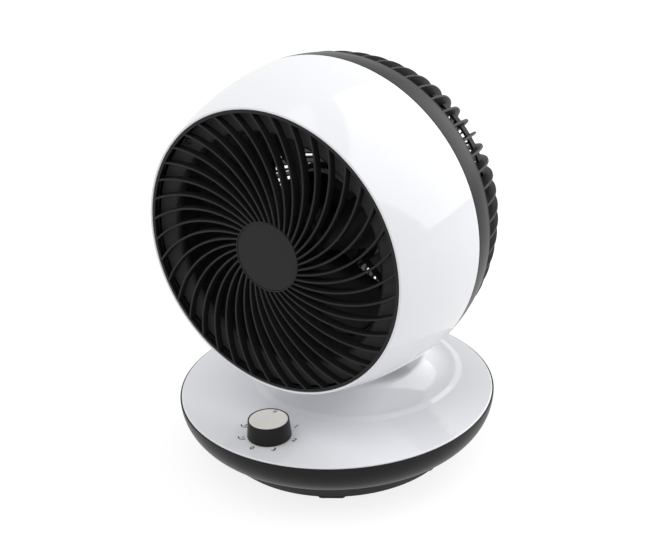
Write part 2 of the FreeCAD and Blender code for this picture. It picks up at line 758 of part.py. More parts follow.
left, right = beside(half_bar), beside(-half_bar)
bar_wire = Part.Wire([
    Part.Arc(*left).toShape(),
    Part.makeLine(left[2], right[2]),
    Part.Arc(*reversed(right)).toShape(),
    Part.makeLine(right[0], left[0]),
])
bar = Part.Face(bar_wire).extrude(V(0, 0, face + crown - guard_rear))
bar.translate(V(0, 0, guard_rear))
bars = []
for n in range(int(size("bar_count"))):
    one = bar.copy()
    one.rotate(V(0, 0, 0), V(0, 0, 1), 360.0 / size("bar_count") * n)
    bars.append(one)
bar_root = hub - 0.8
front_cone = Part.Face(Part.makePolygon([
    V(bar_root, 0, guard_rear), V(ring_inner + 2, 0, guard_rear), V(ring_inner + 2, 0, face - 0.3),
    V(bar_root, 0, face + crown), V(bar_root, 0, guard_rear)])).revolve(V(0, 0, 0), V(0, 0, 1), 360)
bars = [one.common(front_cone) for one in bars]
rim_ring = Part.makeCylinder(ring_outer, face - 0.3 - size("duct_front"), V(0, 0, size("duct_front")))
rim_ring = rim_ring.cut(Part.makeCylinder(ring_inner, 40, V(0, 0, guard_rear - 20)))
hub_plate = Part.makeCylinder(hub, face + crown + 0.3 - guard_rear, V(0, 0, guard_rear))
hub_plate = hub_plate.cut(Part.makeCylinder(hub - 1, 10, V(0, 0, face + crown - 1)))
hub_plate = hub_plate.cut(Part.makeCylinder(hub - 3, 20, V(0, 0, face + crown - 23.5)))
grille_solid = rim_ring.multiFuse([hub_plate] + bars)
# The guard is laid out in plan with its face up, then stood up with its top towards +Z
STAND = FreeCAD.Rotation(V(1, 0, 0), V(0, 0, 1), V(0, -1, 0), "XYZ")
ON_HEAD = FreeCAD.Placement(V(0, 0, size("head_height")), STAND)
front_grille = shaped("front_grille", grille_solid)
front_grille.Placement = ON_HEAD
cap_solid = Part.makeCylinder(hub - 1.1, 1.0, V(0, 0, face + crown - 1))
grille_hub_cap = shaped("grille_hub_cap", cap_solid)
grille_hub_cap.Placement = ON_HEAD

# Head: domed rear guard with radial fins, rings and a solid cap
band_back = size("band_rear")
band_edge = size("band_rear_radius")
dome_out = size("dome_curve_out")
dome_back = size("dome_curve_back")
fin_depth = size("guard_fin_depth")
cap_radius = size("guard_cap")
cap_wall = size("guard_cap_wall")
rail = size("guard_rail")
fine_inset = size("guard_fine_inset")


def dome_curve(inset):
    return size("dome_curve") - inset


def dome_level(radius, inset):
    """Height on the head's axis of the dome at one radius, at a depth below its outer surface."""
    return dome_back - math.sqrt(dome_curve(inset) ** 2 - (radius - dome_out) ** 2)


def dome_reach(level, inset):
    """Radius of the dome at one height on the head's axis, at a depth below its outer surface."""
    return dome_out + math.sqrt(dome_curve(inset) ** 2 - (level - dome_back) ** 2)


def dome_arc(start, stop, inset):
    """Arc on the dome between two points that lie at the same depth below its outer surface."""
    middle = V((start.x + stop.x) / 2 - dome_out, 0, (start.z + stop.z) / 2 - dome_back)
    middle.normalize()
    return Part.Arc(start, V(dome_out, 0, dome_back) + middle * dome_curve(inset), stop).toShape()


def fin_ring(corners, outer_inset, width, share):
    """Fins of one outline and width in degrees all round the head, the first at a share of the pitch."""
    edges = [dome_arc(corners[0], corners[1], outer_inset), Part.makeLine(corners[1], corners[2])]
    edges += [dome_arc(corners[2], corners[3], fin_depth), Part.makeLine(corners[3], corners[0])]
    fin = Part.Face(Part.Wire(edges)).revolve(V(0, 0, 0), V(0, 0, 1), width)
    pitch = 360.0 / size("guard_count")
    first = size("guard_fin_turn") - width / 2
    copies = []
    for n in range(int(size("guard_count"))):
        one = fin.copy()
        one.rotate(V(0, 0, 0), V(0, 0, 1), pitch * (n + share) + first)
        copies.append(one)
    return copies


def ring(inner, outer, low, high):
    tube = Part.makeCylinder(outer, high - low, V(0, 0, low))
    return tube.cut(Part.makeCylinder(inner, high - low, V(0, 0, low)))


fins = fin_ring([
    V(dome_reach(band_back, 0), 0, band_back),
    V(cap_radius, 0, dome_level(cap_radius, 0)),
    V(cap_radius, 0, dome_level(cap_radius, fin_depth)),
    V(dome_reach(band_back, fin_depth), 0, band_back),
], 0, size("guard_fin_width"), 0)
fins += fin_ring([
    V(rail, 0, dome_level(rail, fine_inset)),
    V(cap_radius, 0, dome_level(cap_radius, fine_inset)),
    V(cap_radius, 0, dome_level(cap_radius, fin_depth)),
    V(rail, 0, dome_level(rail, fin_depth)),
], fine_inset, size("guard_fine_width"), 0.5)
half_wall = size("guard_ring_wall") / 2
rail_rear = size("guard_rail_rear")
mid_ring = size("guard_mid_ring")
mid_front = dome_level(mid_ring, fin_depth) - half_wall * 1.5
rings = [
    ring(band_edge - 4.7, band_edge - 0.6, band_back - 2.5, band_back),
    ring(rail - half_wall, rail + half_wall, rail_rear, rail_rear + size("guard_rail_width")),
    ring(mid_ring - half_wall, mid_ring + half_wall, mid_front - size("guard_mid_width"), mid_front),
]
proud = size("guard_cap_proud")
cap_inner = cap_radius - cap_wall
pole = dome_back - dome_curve(-proud)
cap_edge = V(cap_radius, 0, dome_level(cap_radius, -proud))
skirt_front = dome_level(cap_radius, fin_depth) + 1.5
cap_inside = V(cap_inner, 0, dome_level(cap_inner, cap_wall))
pole_inside = dome_back - dome_curve(cap_wall)
cap_corners = [
    cap_edge,
    V(cap_radius, 0, skirt_front),
    V(cap_inner, 0, skirt_front),
    cap_inside,
]
cap_edges = [Part.makeLine(start, stop) for start, stop in zip(cap_corners, cap_corners[1:])]
cap_edges.append(dome_arc(cap_inside, V(dome_out, 0, pole_inside), cap_wall))
middle_corners = [V(dome_out, 0, pole_inside), V(0, 0, pole_inside), V(0, 0, pole), V(dome_out, 0, pole)]
cap_edges += [Part.makeLine(start, stop) for start, stop in zip(middle_corners, middle_corners[1:])]
cap_edges.append(dome_arc(V(dome_out, 0, pole), cap_edge, -proud))
rear_cap = Part.Face(Part.Wire(cap_edges)).revolve(V(0, 0, 0), V(0, 0, 1), 360)
rear_guard = shaped("rear_guard", rear_cap.multiFuse(rings + fins))
rear_guard.Placement = ON_HEAD

# Motor in the duct: cases, bearings, stator, rotor, shaft and bracket
case_inner = "motor_radius - motor_wall"
bearing_hole = "axle_radius + 5"
motor_front_case = turned("motor_front_case", "head", [
    ("motor_split", case_inner),
    ("motor_split", "motor_radius"),
    ("motor_front - 4", "motor_radius"),
    ("motor_front", "motor_radius - 4"),
    ("motor_front", bearing_hole),
    ("motor_front - 5", bearing_hole),
    ("motor_front - 5", "bearing_outer"),
    ("motor_front - motor_wall", "bearing_outer"),
    ("motor_front - motor_wall", "motor_radius - 6"),
    ("motor_front - 6", case_inner),
])
motor_rear_case = turned("motor_rear_case", "head", [
    ("motor_split", case_inner),
    ("motor_rear + 6", case_inner),
    ("motor_rear + motor_wall", "motor_radius - 6"),
    ("motor_rear + motor_wall", "bearing_outer"),
    ("motor_rear + 5", "bearing_outer"),
    ("motor_rear + 5", bearing_hole),
    ("motor_rear", bearing_hole),
    ("motor_rear", "motor_radius - 4"),
    ("motor_rear + 4", "motor_radius"),
    ("motor_split", "motor_radius"),
])


def bush(name, start):
    return turned(name, "head", [
        (start, "axle_radius + running_gap"), ("%s + 5" % start, "axle_radius + running_gap"),
        ("%s + 5" % start, bearing_hole), (start, bearing_hole),
    ])


front_bearing = bush("front_bearing", "motor_front - 5")
rear_bearing = bush("rear_bearing", "motor_rear")
stator_core = turned("stator_core", "head", [
    ("core_rear", "rotor_radius + air_gap"), ("core_front", "rotor_radius + air_gap"),
    ("core_front", case_inner), ("core_rear", case_inner),
])
coils = []
for name, start, length in (("coil_front", "core_front", "6"), ("coil_rear", "core_rear - 6", "6")):
    coils.append(turned(name, "head", [
        (start, "rotor_radius + 2"), ("%s + %s" % (start, length), "rotor_radius + 2"),
        ("%s + %s" % (start, length), "motor_radius - 7"), (start, "motor_radius - 7"),
    ]))
stator_windings = group("stator_windings", *coils)
rotor_core = turned("rotor_core", "head", [
    ("core_rear", "axle_radius"), ("core_front", "axle_radius"),
    ("core_front", "rotor_radius"), ("core_rear", "rotor_radius"),
])
motor_shaft = rod(
    "motor_shaft", "axle_radius", "axle_front - axle_rear", ("0", "-axle_rear", "head_height"), AHEAD)
impeller_nut = turned("impeller_nut", "head", [
    ("blade_front", "axle_radius"), ("blade_front", "9"), ("blade_front + 4", "9"),
    ("axle_front + 4", "5"), ("axle_front + 4", "0"), ("axle_front", "0"), ("axle_front", "axle_radius"),
])
bracket_front, bracket_length = size("motor_split + 5"), 14.0
motor_outer = size("motor_radius")
duct_inner = size("duct_bore")
arms = []
for n in range(4):
    arm = Part.makeBox(6, duct_inner - motor_outer, bracket_length, V(-3, motor_outer + 1.5, 0))
    arm.rotate(V(0, 0, 0), V(0, 0, 1), 45 + 90 * n)
    arms.append(arm)
collar = ring(motor_outer, motor_outer + 3, 0, bracket_length)
bracket_solid = collar.multiFuse(arms).common(Part.makeCylinder(duct_inner, bracket_length))
bracket_solid.translate(V(0, 0, bracket_front - bracket_length))
motor_bracket = shaped("motor_bracket", bracket_solid.removeSplitter())
motor_bracket.Placement = ON_HEAD

# Impeller: cup hub with twisted, cambered blades
blade_hub, blade_tip = size("blade_hub"), size("blade_tip")
blade_front, blade_rear = size("blade_front"), size("blade_rear")
blade_wall = size("blade_wall")
blade_middle = (blade_front + blade_rear) / 2


def blade_section(radius):
    """A cambered outline in the plane that touches the cylinder of this radius."""
    share = (radius - blade_hub) / (blade_tip - blade_hub)
    chord = size("blade_root_chord") * (1 - share) + size("blade_tip_chord") * share
    pitch = math.radians(size("blade_root_pitch") * (1 - share) + size("blade_tip_pitch") * share)
    camber = size("blade_camber") * chord
    upper, lower = [], []
    for k in range(7):
        x = k / 6.0 - 0.5
        lift = camber * (1 - 4 * x * x)
        half = blade_wall / 2 * (1 - 2.2 * x * x)
        for side, half_side in ((upper, half), (lower, -half)):
            along, up = x * chord, lift + half_side
            tangential = along * math.cos(pitch) - up * math.sin(pitch)
            axial = along * math.sin(pitch) + up * math.cos(pitch)
            side.append(V(tangential, radius, blade_middle + axial))
    points = upper + lower[::-1]
    wire = Part.makePolygon(points + points[:1])
    wire.rotate(V(0, 0, 0), V(0, 0, 1), size("blade_sweep") * share)
    return wire


stations = [blade_hub - 2 + (blade_tip - blade_hub + 3) * k / 5.0 for k in range(6)]
blade = Part.makeLoft([blade_section(r) for r in stations], True, True)
blade = blade.common(Part.makeCylinder(blade_tip, 80, V(0, 0, blade_rear - 20)))
blades = []
for n in range(int(size("blade_count"))):
    one = blade.copy()
    one.rotate(V(0, 0, 0), V(0, 0, 1), 360.0 / size("blade_count") * n)
    blades.append(one)
hub_outer = Part.makeCylinder(blade_hub, blade_front - blade_rear, V(0, 0, blade_rear))
hub_hollow = Part.makeCylinder(blade_hub - 2.5, blade_front - blade_rear - 3, V(0, 0, blade_rear))
hub_boss = Part.makeCylinder(9, blade_front - blade_rear, V(0, 0, blade_rear))
axle_hole = Part.makeCylinder(size("axle_radius"), 60, V(0, 0, blade_rear - 10))
hub_walls = hub_outer.cut(hub_hollow).fuse(hub_boss)
hub_clear = Part.makeCylinder(blade_hub - 1, 80, V(0, 0, blade_rear - 20))
blades_clear = [one.cut(hub_clear) for one in blades]
impeller_solid = hub_walls.multiFuse(blades_clear).cut(axle_hole)
impeller = shaped("impeller", impeller_solid)
impeller.Placement = ON_HEAD

NODES = {
    "base_cover": base_cover, "base_lower_shell": base_lower_shell, "bottom_plate": bottom_plate,
    "rubber_feet": rubber_feet, "ballast_plate": ballast_plate, "base_screws": base_screws,
    "cord_grommet": cord_grommet, "chassis_frame": chassis_frame, "thrust_washer": thrust_washer,
    "pan_motor": pan_motor, "run_capacitor": run_capacitor, "terminal_block": terminal_block,
    "rotary_switch": rotary_switch, "switch_nut": switch_nut, "switch_spindle": switch_spindle,
    "knob_body": knob_body, "knob_cap": knob_cap, "turntable": turntable, "pan_shaft": pan_shaft,
    "lead_gland": lead_gland,
    "pan_gear": pan_gear, "pan_pinion": pan_pinion, "neck_fork": neck_fork, "fork_screws": fork_screws,
    "tilt_pin": tilt_pin, "tilt_washers": tilt_washers, "tilt_bracket": tilt_bracket,
    "front_shell": front_shell, "rear_cover": rear_cover, "air_duct": air_duct, "head_screws": head_screws,
    "front_grille": front_grille, "grille_hub_cap": grille_hub_cap, "rear_guard": rear_guard,
    "motor_front_case": motor_front_case, "motor_rear_case": motor_rear_case, "front_bearing": front_bearing,
    "rear_bearing": rear_bearing, "stator_core": stator_core, "stator_windings": stator_windings,
    "rotor_core": rotor_core, "motor_shaft": motor_shaft, "impeller_nut": impeller_nut,
    "motor_bracket": motor_bracket, "impeller": impeller,
}

doc.recompute()
for item in doc.Objects:
    if {"Invalid", "Error"} & set(item.State):
        raise RuntimeError("%s failed: %s" % (item.Name, item.State))
os.makedirs("parts", exist_ok=True)
for node, item in NODES.items():
    item.Label = node
    shape = item.Shape
    if shape.isNull() or not shape.isValid() or not shape.Solids:
        raise RuntimeError("%s has no valid solid" % node)
    print("%-18s %9.0f mm3 in %d solids" % (node, shape.Volume, len(shape.Solids)))
for node, item in NODES.items():
    item.Shape.exportStep("parts/%s.step" % node)
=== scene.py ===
import bpy
import json
from math import acos, asin, atan2, cos, degrees, pi, radians, sin, sqrt, tan
from mathutils import Matrix, Vector


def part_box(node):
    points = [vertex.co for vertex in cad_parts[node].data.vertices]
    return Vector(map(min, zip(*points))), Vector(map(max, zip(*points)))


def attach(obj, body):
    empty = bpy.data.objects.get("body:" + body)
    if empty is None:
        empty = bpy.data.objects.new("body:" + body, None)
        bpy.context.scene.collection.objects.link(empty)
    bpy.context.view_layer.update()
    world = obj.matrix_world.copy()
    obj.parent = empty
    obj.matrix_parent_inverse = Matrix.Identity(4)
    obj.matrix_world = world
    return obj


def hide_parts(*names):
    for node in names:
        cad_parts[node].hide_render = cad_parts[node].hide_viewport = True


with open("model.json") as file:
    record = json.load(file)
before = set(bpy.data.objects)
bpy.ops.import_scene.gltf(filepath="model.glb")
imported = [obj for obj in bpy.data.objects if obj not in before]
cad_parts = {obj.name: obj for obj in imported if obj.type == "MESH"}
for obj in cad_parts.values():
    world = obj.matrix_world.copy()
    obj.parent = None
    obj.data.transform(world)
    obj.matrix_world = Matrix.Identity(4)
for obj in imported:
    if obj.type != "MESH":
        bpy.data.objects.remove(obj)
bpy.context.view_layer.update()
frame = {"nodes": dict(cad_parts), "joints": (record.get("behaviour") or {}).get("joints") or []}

# Rubber feet
# Six moulded rubber pads with a dished face that grips the table.
# They are pressed into the bottom plate at even spacing round its edge.
MM = 0.001
FULL_TURN, SMOOTH_TO = 2 * pi, radians(32)


def editing(on):
    """Go into edit mode, or out of it."""
    bpy.ops.object.mode_set(mode="EDIT" if on else "OBJECT")


def select_all(on):
    """In edit mode, select all of a mesh, or none of it."""
    bpy.ops.mesh.select_all(action="SELECT" if on else "DESELECT")


def begin(name, primitive, **settings):
    """Add a primitive with nothing else selected, put its place into its mesh and go into edit mode on it."""
    bpy.ops.object.select_all(action="DESELECT")
    primitive(**{"location": (0, 0, 0), **settings})
    bpy.ops.object.transform_apply(location=True, rotation=True, scale=True)
    piece = bpy.context.object
    piece.name = name
    piece.data.name = name
    editing(True)
    bpy.ops.mesh.select_mode(type="VERT")
    select_all(True)
    return piece


def pick(piece, kind, test):
    """In edit mode, select the vertices, edges or faces that pass a test."""
    bpy.ops.mesh.select_mode(type=kind)
    select_all(False)
    editing(False)
    mesh = piece.data
    items = {"VERT": mesh.vertices, "EDGE": mesh.edges, "FACE": mesh.polygons}[kind]
    for item in items:
        item.select = bool(test(item))
    editing(True)


def both_ends(piece, test):
    """A test for edges: both of an edge's ends pass."""
    return lambda edge: all(test(piece.data.vertices[v].co) for v in edge.vertices)


def modified(piece, kind, **settings):
    """Give the active piece a modifier and apply it."""
    change = piece.modifiers.new(kind.lower(), kind)
    for key, value in settings.items():
        setattr(change, key, value)
    bpy.ops.object.modifier_apply(modifier=change.name)


def complete(piece):
    """Merge doubles, point the faces outwards, leave edit mode and shade all but the sharp edges smooth."""
    select_all(True)
    bpy.ops.mesh.remove_doubles(threshold=1e-6)
    bpy.ops.mesh.normals_make_consistent(inside=False)
    editing(False)
    bpy.ops.object.shade_smooth_by_angle(angle=SMOOTH_TO)
    modified(piece, "WEIGHTED_NORMAL", keep_sharp=True)


def ring_of(count, centre, axis):
    """Copy what is selected round an axis, so that there are count of it."""
    share = (count - 1) / count
    bpy.ops.mesh.spin(steps=count - 1, angle=FULL_TURN * share, center=centre, axis=axis, dupli=True)


class Wire:
    """An output in a material's node tree; sums, products and comparisons of wires add Math nodes."""

    def __init__(self, tree, socket):
        self.tree = tree
        self.socket = socket

    def node(self, kind, settings, sockets, out=0):
        made = self.tree.nodes.new(kind)
        for key, value in settings.items():
            setattr(made, key, value)
        for key, value in sockets.items():
            if isinstance(value, Wire):
                self.tree.links.new(value.socket, made.inputs[key])
            else:
                made.inputs[key].default_value = value
        return Wire(self.tree, made.outputs[out])

    def into(self, shader, name):
        self.tree.links.new(self.socket, shader.inputs[name])

    def maths(self, operation, first, second):
        return self.node("ShaderNodeMath", {"operation": operation}, {0: first, 1: second})

    def __add__(self, other):
        return self.maths("ADD", self, other)

    def __radd__(self, other):
        return self.maths("ADD", other, self)

    def __mul__(self, other):
        return self.maths("MULTIPLY", self, other)

    def __rmul__(self, other):
        return self.maths("MULTIPLY", other, self)

    def __lt__(self, other):
        return self.maths("LESS_THAN", self, other)

    def noise(self, scale, detail=2.0):
        return self.node("ShaderNodeTexNoise", {}, {"Vector": self, "Scale": scale, "Detail": detail})

    def tint(self, first, second):
        """A colour between two, each of them plain or a wire, by this wire from 0 to 1."""
        ends = [end if isinstance(end, Wire) else end + (1,) for end in (first, second)]
        return self.node("ShaderNodeMix", {"data_type": "RGBA"}, {0: self, 6: ends[0], 7: ends[1]}, 2)

    def relief(self, shader, depth):
        """Use this wire as a surface's fine height, depth metres from low to high."""
        bump = self.node("ShaderNodeBump", {}, {"Height": self, "Distance": depth, "Strength": 1.0})
        bump.into(shader, "Normal")


def new_finish(name, **constants):
    """A material with its shader's constant sockets set, its shader, and a wire of Object coordinates."""
    material = bpy.data.materials.new(name)
    material.use_nodes = True
    tree = material.node_tree
    shader = tree.nodes["Principled BSDF"]
    for key, value in constants.items():
        shader.inputs[key.replace("_", " ")].default_value = value
    return material, shader, Wire(tree, tree.nodes.new("ShaderNodeTexCoord").outputs["Object"])


def moulded(name, dark, light, grain, depth, low_rough, high_rough, **constants):
    """Moulded plastic or rubber: a faint drift of colour, a fine grain and uneven roughness."""
    material, shader, place = new_finish(name, **constants)
    fine = place.noise(grain, 3.0)
    drift = place.noise(grain * 0.012)
    (0.5 * fine + 0.5 * drift).tint(dark, light).into(shader, "Base Color")
    (low_rough + (high_rough - low_rough) * (0.4 * fine + 0.6 * drift)).into(shader, "Roughness")
    fine.relief(shader, depth)
    return material


rubber = moulded(
    "black_rubber", (0.012, 0.012, 0.012), (0.03, 0.03, 0.029), 1500, 0.00005, 0.62, 0.85,
    Specular_IOR_Level=0.3)
FOOT_COUNT = 6
foot_wide, foot_deep, foot_tall = 21 * MM, 9 * MM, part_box("rubber_feet")[1].z
foot_middle = 88 * MM
foot_corner, foot_edge = 3 * MM, 0.4 * MM
foot_border, foot_slope, foot_dish = 1.2 * MM, 0.5 * MM, 0.35 * MM
feet = begin("rubber_feet", bpy.ops.mesh.primitive_cube_add, size=1)
bpy.ops.transform.resize(value=(foot_wide, foot_deep, foot_tall))
bpy.ops.transform.translate(value=(0, -foot_middle, foot_tall / 2))
pick(feet, "EDGE", lambda edge: abs(feet.data.vertices[edge.vertices[0]].co.z
                                    - feet.data.vertices[edge.vertices[1]].co.z) > foot_tall / 2)
bpy.ops.mesh.bevel(offset=foot_corner, segments=5, affect="EDGES")
pick(feet, "EDGE", both_ends(feet, lambda spot: spot.z < foot_edge))
bpy.ops.mesh.bevel(offset=foot_edge, segments=3, affect="EDGES")
pick(feet, "FACE", lambda face: face.normal.z < -0.99)
bpy.ops.mesh.inset(thickness=foot_border)
bpy.ops.mesh.inset(thickness=foot_slope, depth=-foot_dish)
select_all(True)
bpy.ops.transform.rotate(value=FULL_TURN / FOOT_COUNT / 2, orient_axis="Z", center_override=(0, 0, 0))
ring_of(FOOT_COUNT, (0, 0, 0), (0, 0, 1))
complete(feet)
feet.data.materials.append(rubber)
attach(feet, "base")
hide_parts("rubber_feet")

# Bottom plate
# A dark polypropylene pan with a sloping wall, moulded in one piece with shallow stiffening grooves.
# It closes the base from below and carries the feet.
joints = {joint["name"]: Vector(joint["pos_m"]) for joint in frame["joints"]}
UP, AHEAD, RIGHT = Vector((0, 0, 1)), Vector((0, -1, 0)), Vector((1, 0, 0))
BASE_AXIS = (Vector((0, 0, 0)), UP, RIGHT)


def bow(start, stop, radius, side, count=16):
    """Points from start up to but without stop on an arc, bulging to the left for side 1 and right for -1."""
    start, stop = Vector(start), Vector(stop)
    chord = stop - start
    across = Vector((-chord.y, chord.x)).normalized() * side
    centre = (start + stop) / 2 - across * sqrt(radius ** 2 - (chord.length / 2) ** 2)
    spread = (start - centre).angle_signed(stop - centre)
    return [tuple(centre + Matrix.Rotation(-spread * k / count, 2) @ (start - centre)) for k in range(count)]


def sharp_corners(outline, is_ring):
    """The places in an outline where it turns by more than a few degrees."""
    found = []
    last = len(outline) - 1
    for k, point in enumerate(outline):
        if not is_ring and k in (0, last):
            continue
        before = Vector(point) - Vector(outline[k - 1])
        after = Vector(outline[(k + 1) % len(outline)]) - Vector(point)
        if before.angle(after) > radians(18):
            found.append(k)
    return found


def turned(name, axis, outline, corner, steps=200):
    """Draw an outline of (radius, height) points in millimetres, round its corners and spin it about an axis.

    An axis is its foot, its direction and the way that radii are drawn. An outline that starts on the
    axis also ends on it, and any other is a ring's section."""
    foot, along, outward = axis
    spots = [foot + MM * (outward * radius + along * height) for radius, height in outline]
    piece = begin(name, bpy.ops.mesh.primitive_plane_add, size=MM)
    bpy.ops.mesh.merge(type="CENTER")
    bpy.ops.transform.translate(value=spots[0])
    for here, there in zip(spots, spots[1:]):
        bpy.ops.mesh.extrude_region_move(TRANSFORM_OT_translate={"value": there - here})
    is_ring = outline[0][0] > 0
    if is_ring:
        pick(piece, "VERT", lambda vertex: vertex.index in (0, len(spots) - 1))
        bpy.ops.mesh.edge_face_add()
    sharp = sharp_corners(outline, is_ring)
    pick(piece, "VERT", lambda vertex: vertex.index in sharp)
    bpy.ops.mesh.bevel(affect="VERTICES", offset=corner * MM, segments=4)
    select_all(True)
    bpy.ops.mesh.spin(steps=steps, angle=FULL_TURN, center=foot, axis=along)
    complete(piece)
    return piece


charcoal_matt = moulded(
    "charcoal_matt", (0.009, 0.009, 0.0095), (0.016, 0.016, 0.0165), 2600, 0.00004, 0.42, 0.6,
    Specular_IOR_Level=0.22)
PLATE_LOW, PLATE_TOP, PLATE_WALL = 2.1, 22.4, 2.5
PLATE_FLOOR, PLATE_EDGE, PLATE_BAND = 93.6, 111.8, 2
INNER_FLOOR, INNER_EDGE, INNER_BAND = 91.5, 106.5, 3.4
GROOVES, GROOVE_MOUTH, GROOVE_BED, GROOVE_DEEP = (30, 55), 1.2, 0.8, 0.5
groove_top = PLATE_LOW + GROOVE_DEEP
plate_outline = [(0, PLATE_LOW)]
for groove in GROOVES:
    plate_outline += [(groove - GROOVE_MOUTH, PLATE_LOW), (groove - GROOVE_BED, groove_top)]
    plate_outline += [(groove + GROOVE_BED, groove_top), (groove + GROOVE_MOUTH, PLATE_LOW)]
plate_outline += [
    (PLATE_FLOOR, PLATE_LOW), (PLATE_EDGE, PLATE_TOP - PLATE_BAND), (PLATE_EDGE, PLATE_TOP),
    (INNER_EDGE, PLATE_TOP), (INNER_EDGE, PLATE_TOP - INNER_BAND), (INNER_FLOOR, PLATE_LOW + PLATE_WALL),
    (0, PLATE_LOW + PLATE_WALL)]
plate = turned("bottom_plate", BASE_AXIS, plate_outline, 0.3)
plate.data.materials.append(moulded(
    "black_plate", (0.004, 0.004, 0.004), (0.008, 0.008, 0.008), 2600, 0.00004, 0.5, 0.7,
    Specular_IOR_Level=0.05))
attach(plate, "base")
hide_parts("bottom_plate")

# Base screws
# Four zinc-plated pan-head screws with a cross recess.
# They hold the bottom plate, the ballast and the chassis legs together from below.
def metal(name, dark, light, low_rough, high_rough, scale, depth):
    """Bare or plated metal: fine marks in its roughness and a slight drift of colour."""
    material, shader, place = new_finish(name, Metallic=1.0)
    marks = place.noise(scale, 4.0)
    cloud = place.noise(scale * 0.04)
    (0.6 * cloud + 0.4 * marks).tint(dark, light).into(shader, "Base Color")
    (low_rough + (high_rough - low_rough) * (0.5 * marks + 0.5 * cloud)).into(shader, "Roughness")
    marks.relief(shader, depth)
    return material


def cut_away(piece, tool):
    """Subtract a tool from a piece, and remove the tool."""
    bpy.ops.object.select_all(action="DESELECT")
    bpy.context.view_layer.objects.active = piece
    piece.select_set(True)
    modified(piece, "BOOLEAN", operation="DIFFERENCE", solver="EXACT", object=tool)
    bpy.data.objects.remove(tool)


def cross_screws(name, axis, radius, height, spots):
    """One pan-head screw with a cross recess, copied to each spot. Its axis points the way it faces."""
    foot, facing, outward = axis
    sunk = 0.4
    piece = turned(name, axis, [
        (0, -sunk), (radius, -sunk), (radius, height * 0.45), (radius * 0.8, height * 0.85),
        (radius * 0.4, height), (0, height)], radius * 0.08, 40)
    side = outward.cross(facing)
    for first, second in ((outward, side), (side, outward)):
        slot = begin("recess", bpy.ops.mesh.primitive_cube_add, size=1)
        editing(False)
        spans = (first * radius * 1.1, second * radius * 0.24, facing * height * 1.1)
        columns = Matrix([span * MM for span in spans]).transposed().to_4x4()
        slot.data.transform(Matrix.Translation(foot + facing * height * MM) @ columns)
        cut_away(piece, slot)
    editing(True)
    select_all(True)
    bpy.ops.transform.translate(value=Vector(spots[0]) * MM)
    for here, there in zip(spots, spots[1:]):
        step = (Vector(there) - Vector(here)) * MM
        bpy.ops.mesh.duplicate_move(TRANSFORM_OT_translate={"value": step})
    complete(piece)
    return piece


steel = metal("zinc_steel", (0.42, 0.42, 0.43), (0.6, 0.6, 0.61), 0.22, 0.42, 1800, 0.000008)
LEG_SPOTS = [(50, 55, 0), (-50, 55, 0), (-50, -25, 0), (50, -25, 0)]
SCREW_HEAD, SCREW_RISE = 3.5, 1.6
base_screws = cross_screws(
    "base_screws", (Vector((0, 0, PLATE_LOW * MM)), -UP, RIGHT), SCREW_HEAD, SCREW_RISE, LEG_SPOTS)
base_screws.data.materials.append(steel)
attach(base_screws, "base")
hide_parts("base_screws")

# Lower shell
# The dark curved side of the base, injection moulded with a satin grain.
# Its inner ledge carries the white cover, and the cord comes in through a hole at the back.
charcoal_satin = moulded(
    "charcoal_satin", (0.010, 0.010, 0.0105), (0.017, 0.017, 0.0175), 2200, 0.00002, 0.28, 0.4,
    Specular_IOR_Level=0.13)
SEAT_TOP, SEAT_RADIUS, SEAT_WALL = 47.4, 119, 2.4
SIDE_RADIUS, SIDE_CURVE, SIDE_WALL = 126.2, 32.7, 2.6
SIDE_FOOT, SHELL_BORE, SHELL_FLOOR = (114.6, 22.4), 106, 24.9
INNER_FOOT, INNER_CURVE = (113.5, SHELL_FLOOR), 30.2
inner_top = (SIDE_RADIUS - SIDE_WALL, SEAT_TOP - SEAT_WALL)
shell_outline = bow((SIDE_RADIUS, SEAT_TOP), SIDE_FOOT, SIDE_CURVE, 1)
shell_outline += [SIDE_FOOT, (SHELL_BORE, SIDE_FOOT[1]), (SHELL_BORE, SHELL_FLOOR)]
shell_outline += bow(INNER_FOOT, inner_top, INNER_CURVE, -1)
shell_outline += [inner_top, (SEAT_RADIUS, SEAT_TOP - SEAT_WALL), (SEAT_RADIUS, SEAT_TOP)]
lower_shell = turned("base_lower_shell", BASE_AXIS, shell_outline, 0.35, 256)
INLET_HEIGHT, INLET_RADIUS, INLET_DEEP = 36, 5.2, 30
inlet = begin(
    "inlet", bpy.ops.mesh.primitive_cylinder_add, vertices=48,
    radius=INLET_RADIUS * MM, depth=INLET_DEEP * MM,
    location=(0, SIDE_RADIUS * MM, INLET_HEIGHT * MM), rotation=(pi / 2, 0, 0))
editing(False)
cut_away(lower_shell, inlet)
lower_shell.data.materials.append(charcoal_satin)
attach(lower_shell, "base")
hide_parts("base_lower_shell")


def dress(material, *names):
    """Give CAD nodes a material of this script in place of the plain one."""
    for name in names:
        surface = frame["nodes"][name].data
        surface.materials.clear()
        surface.materials.append(material)


dress(rubber, "cord_grommet")

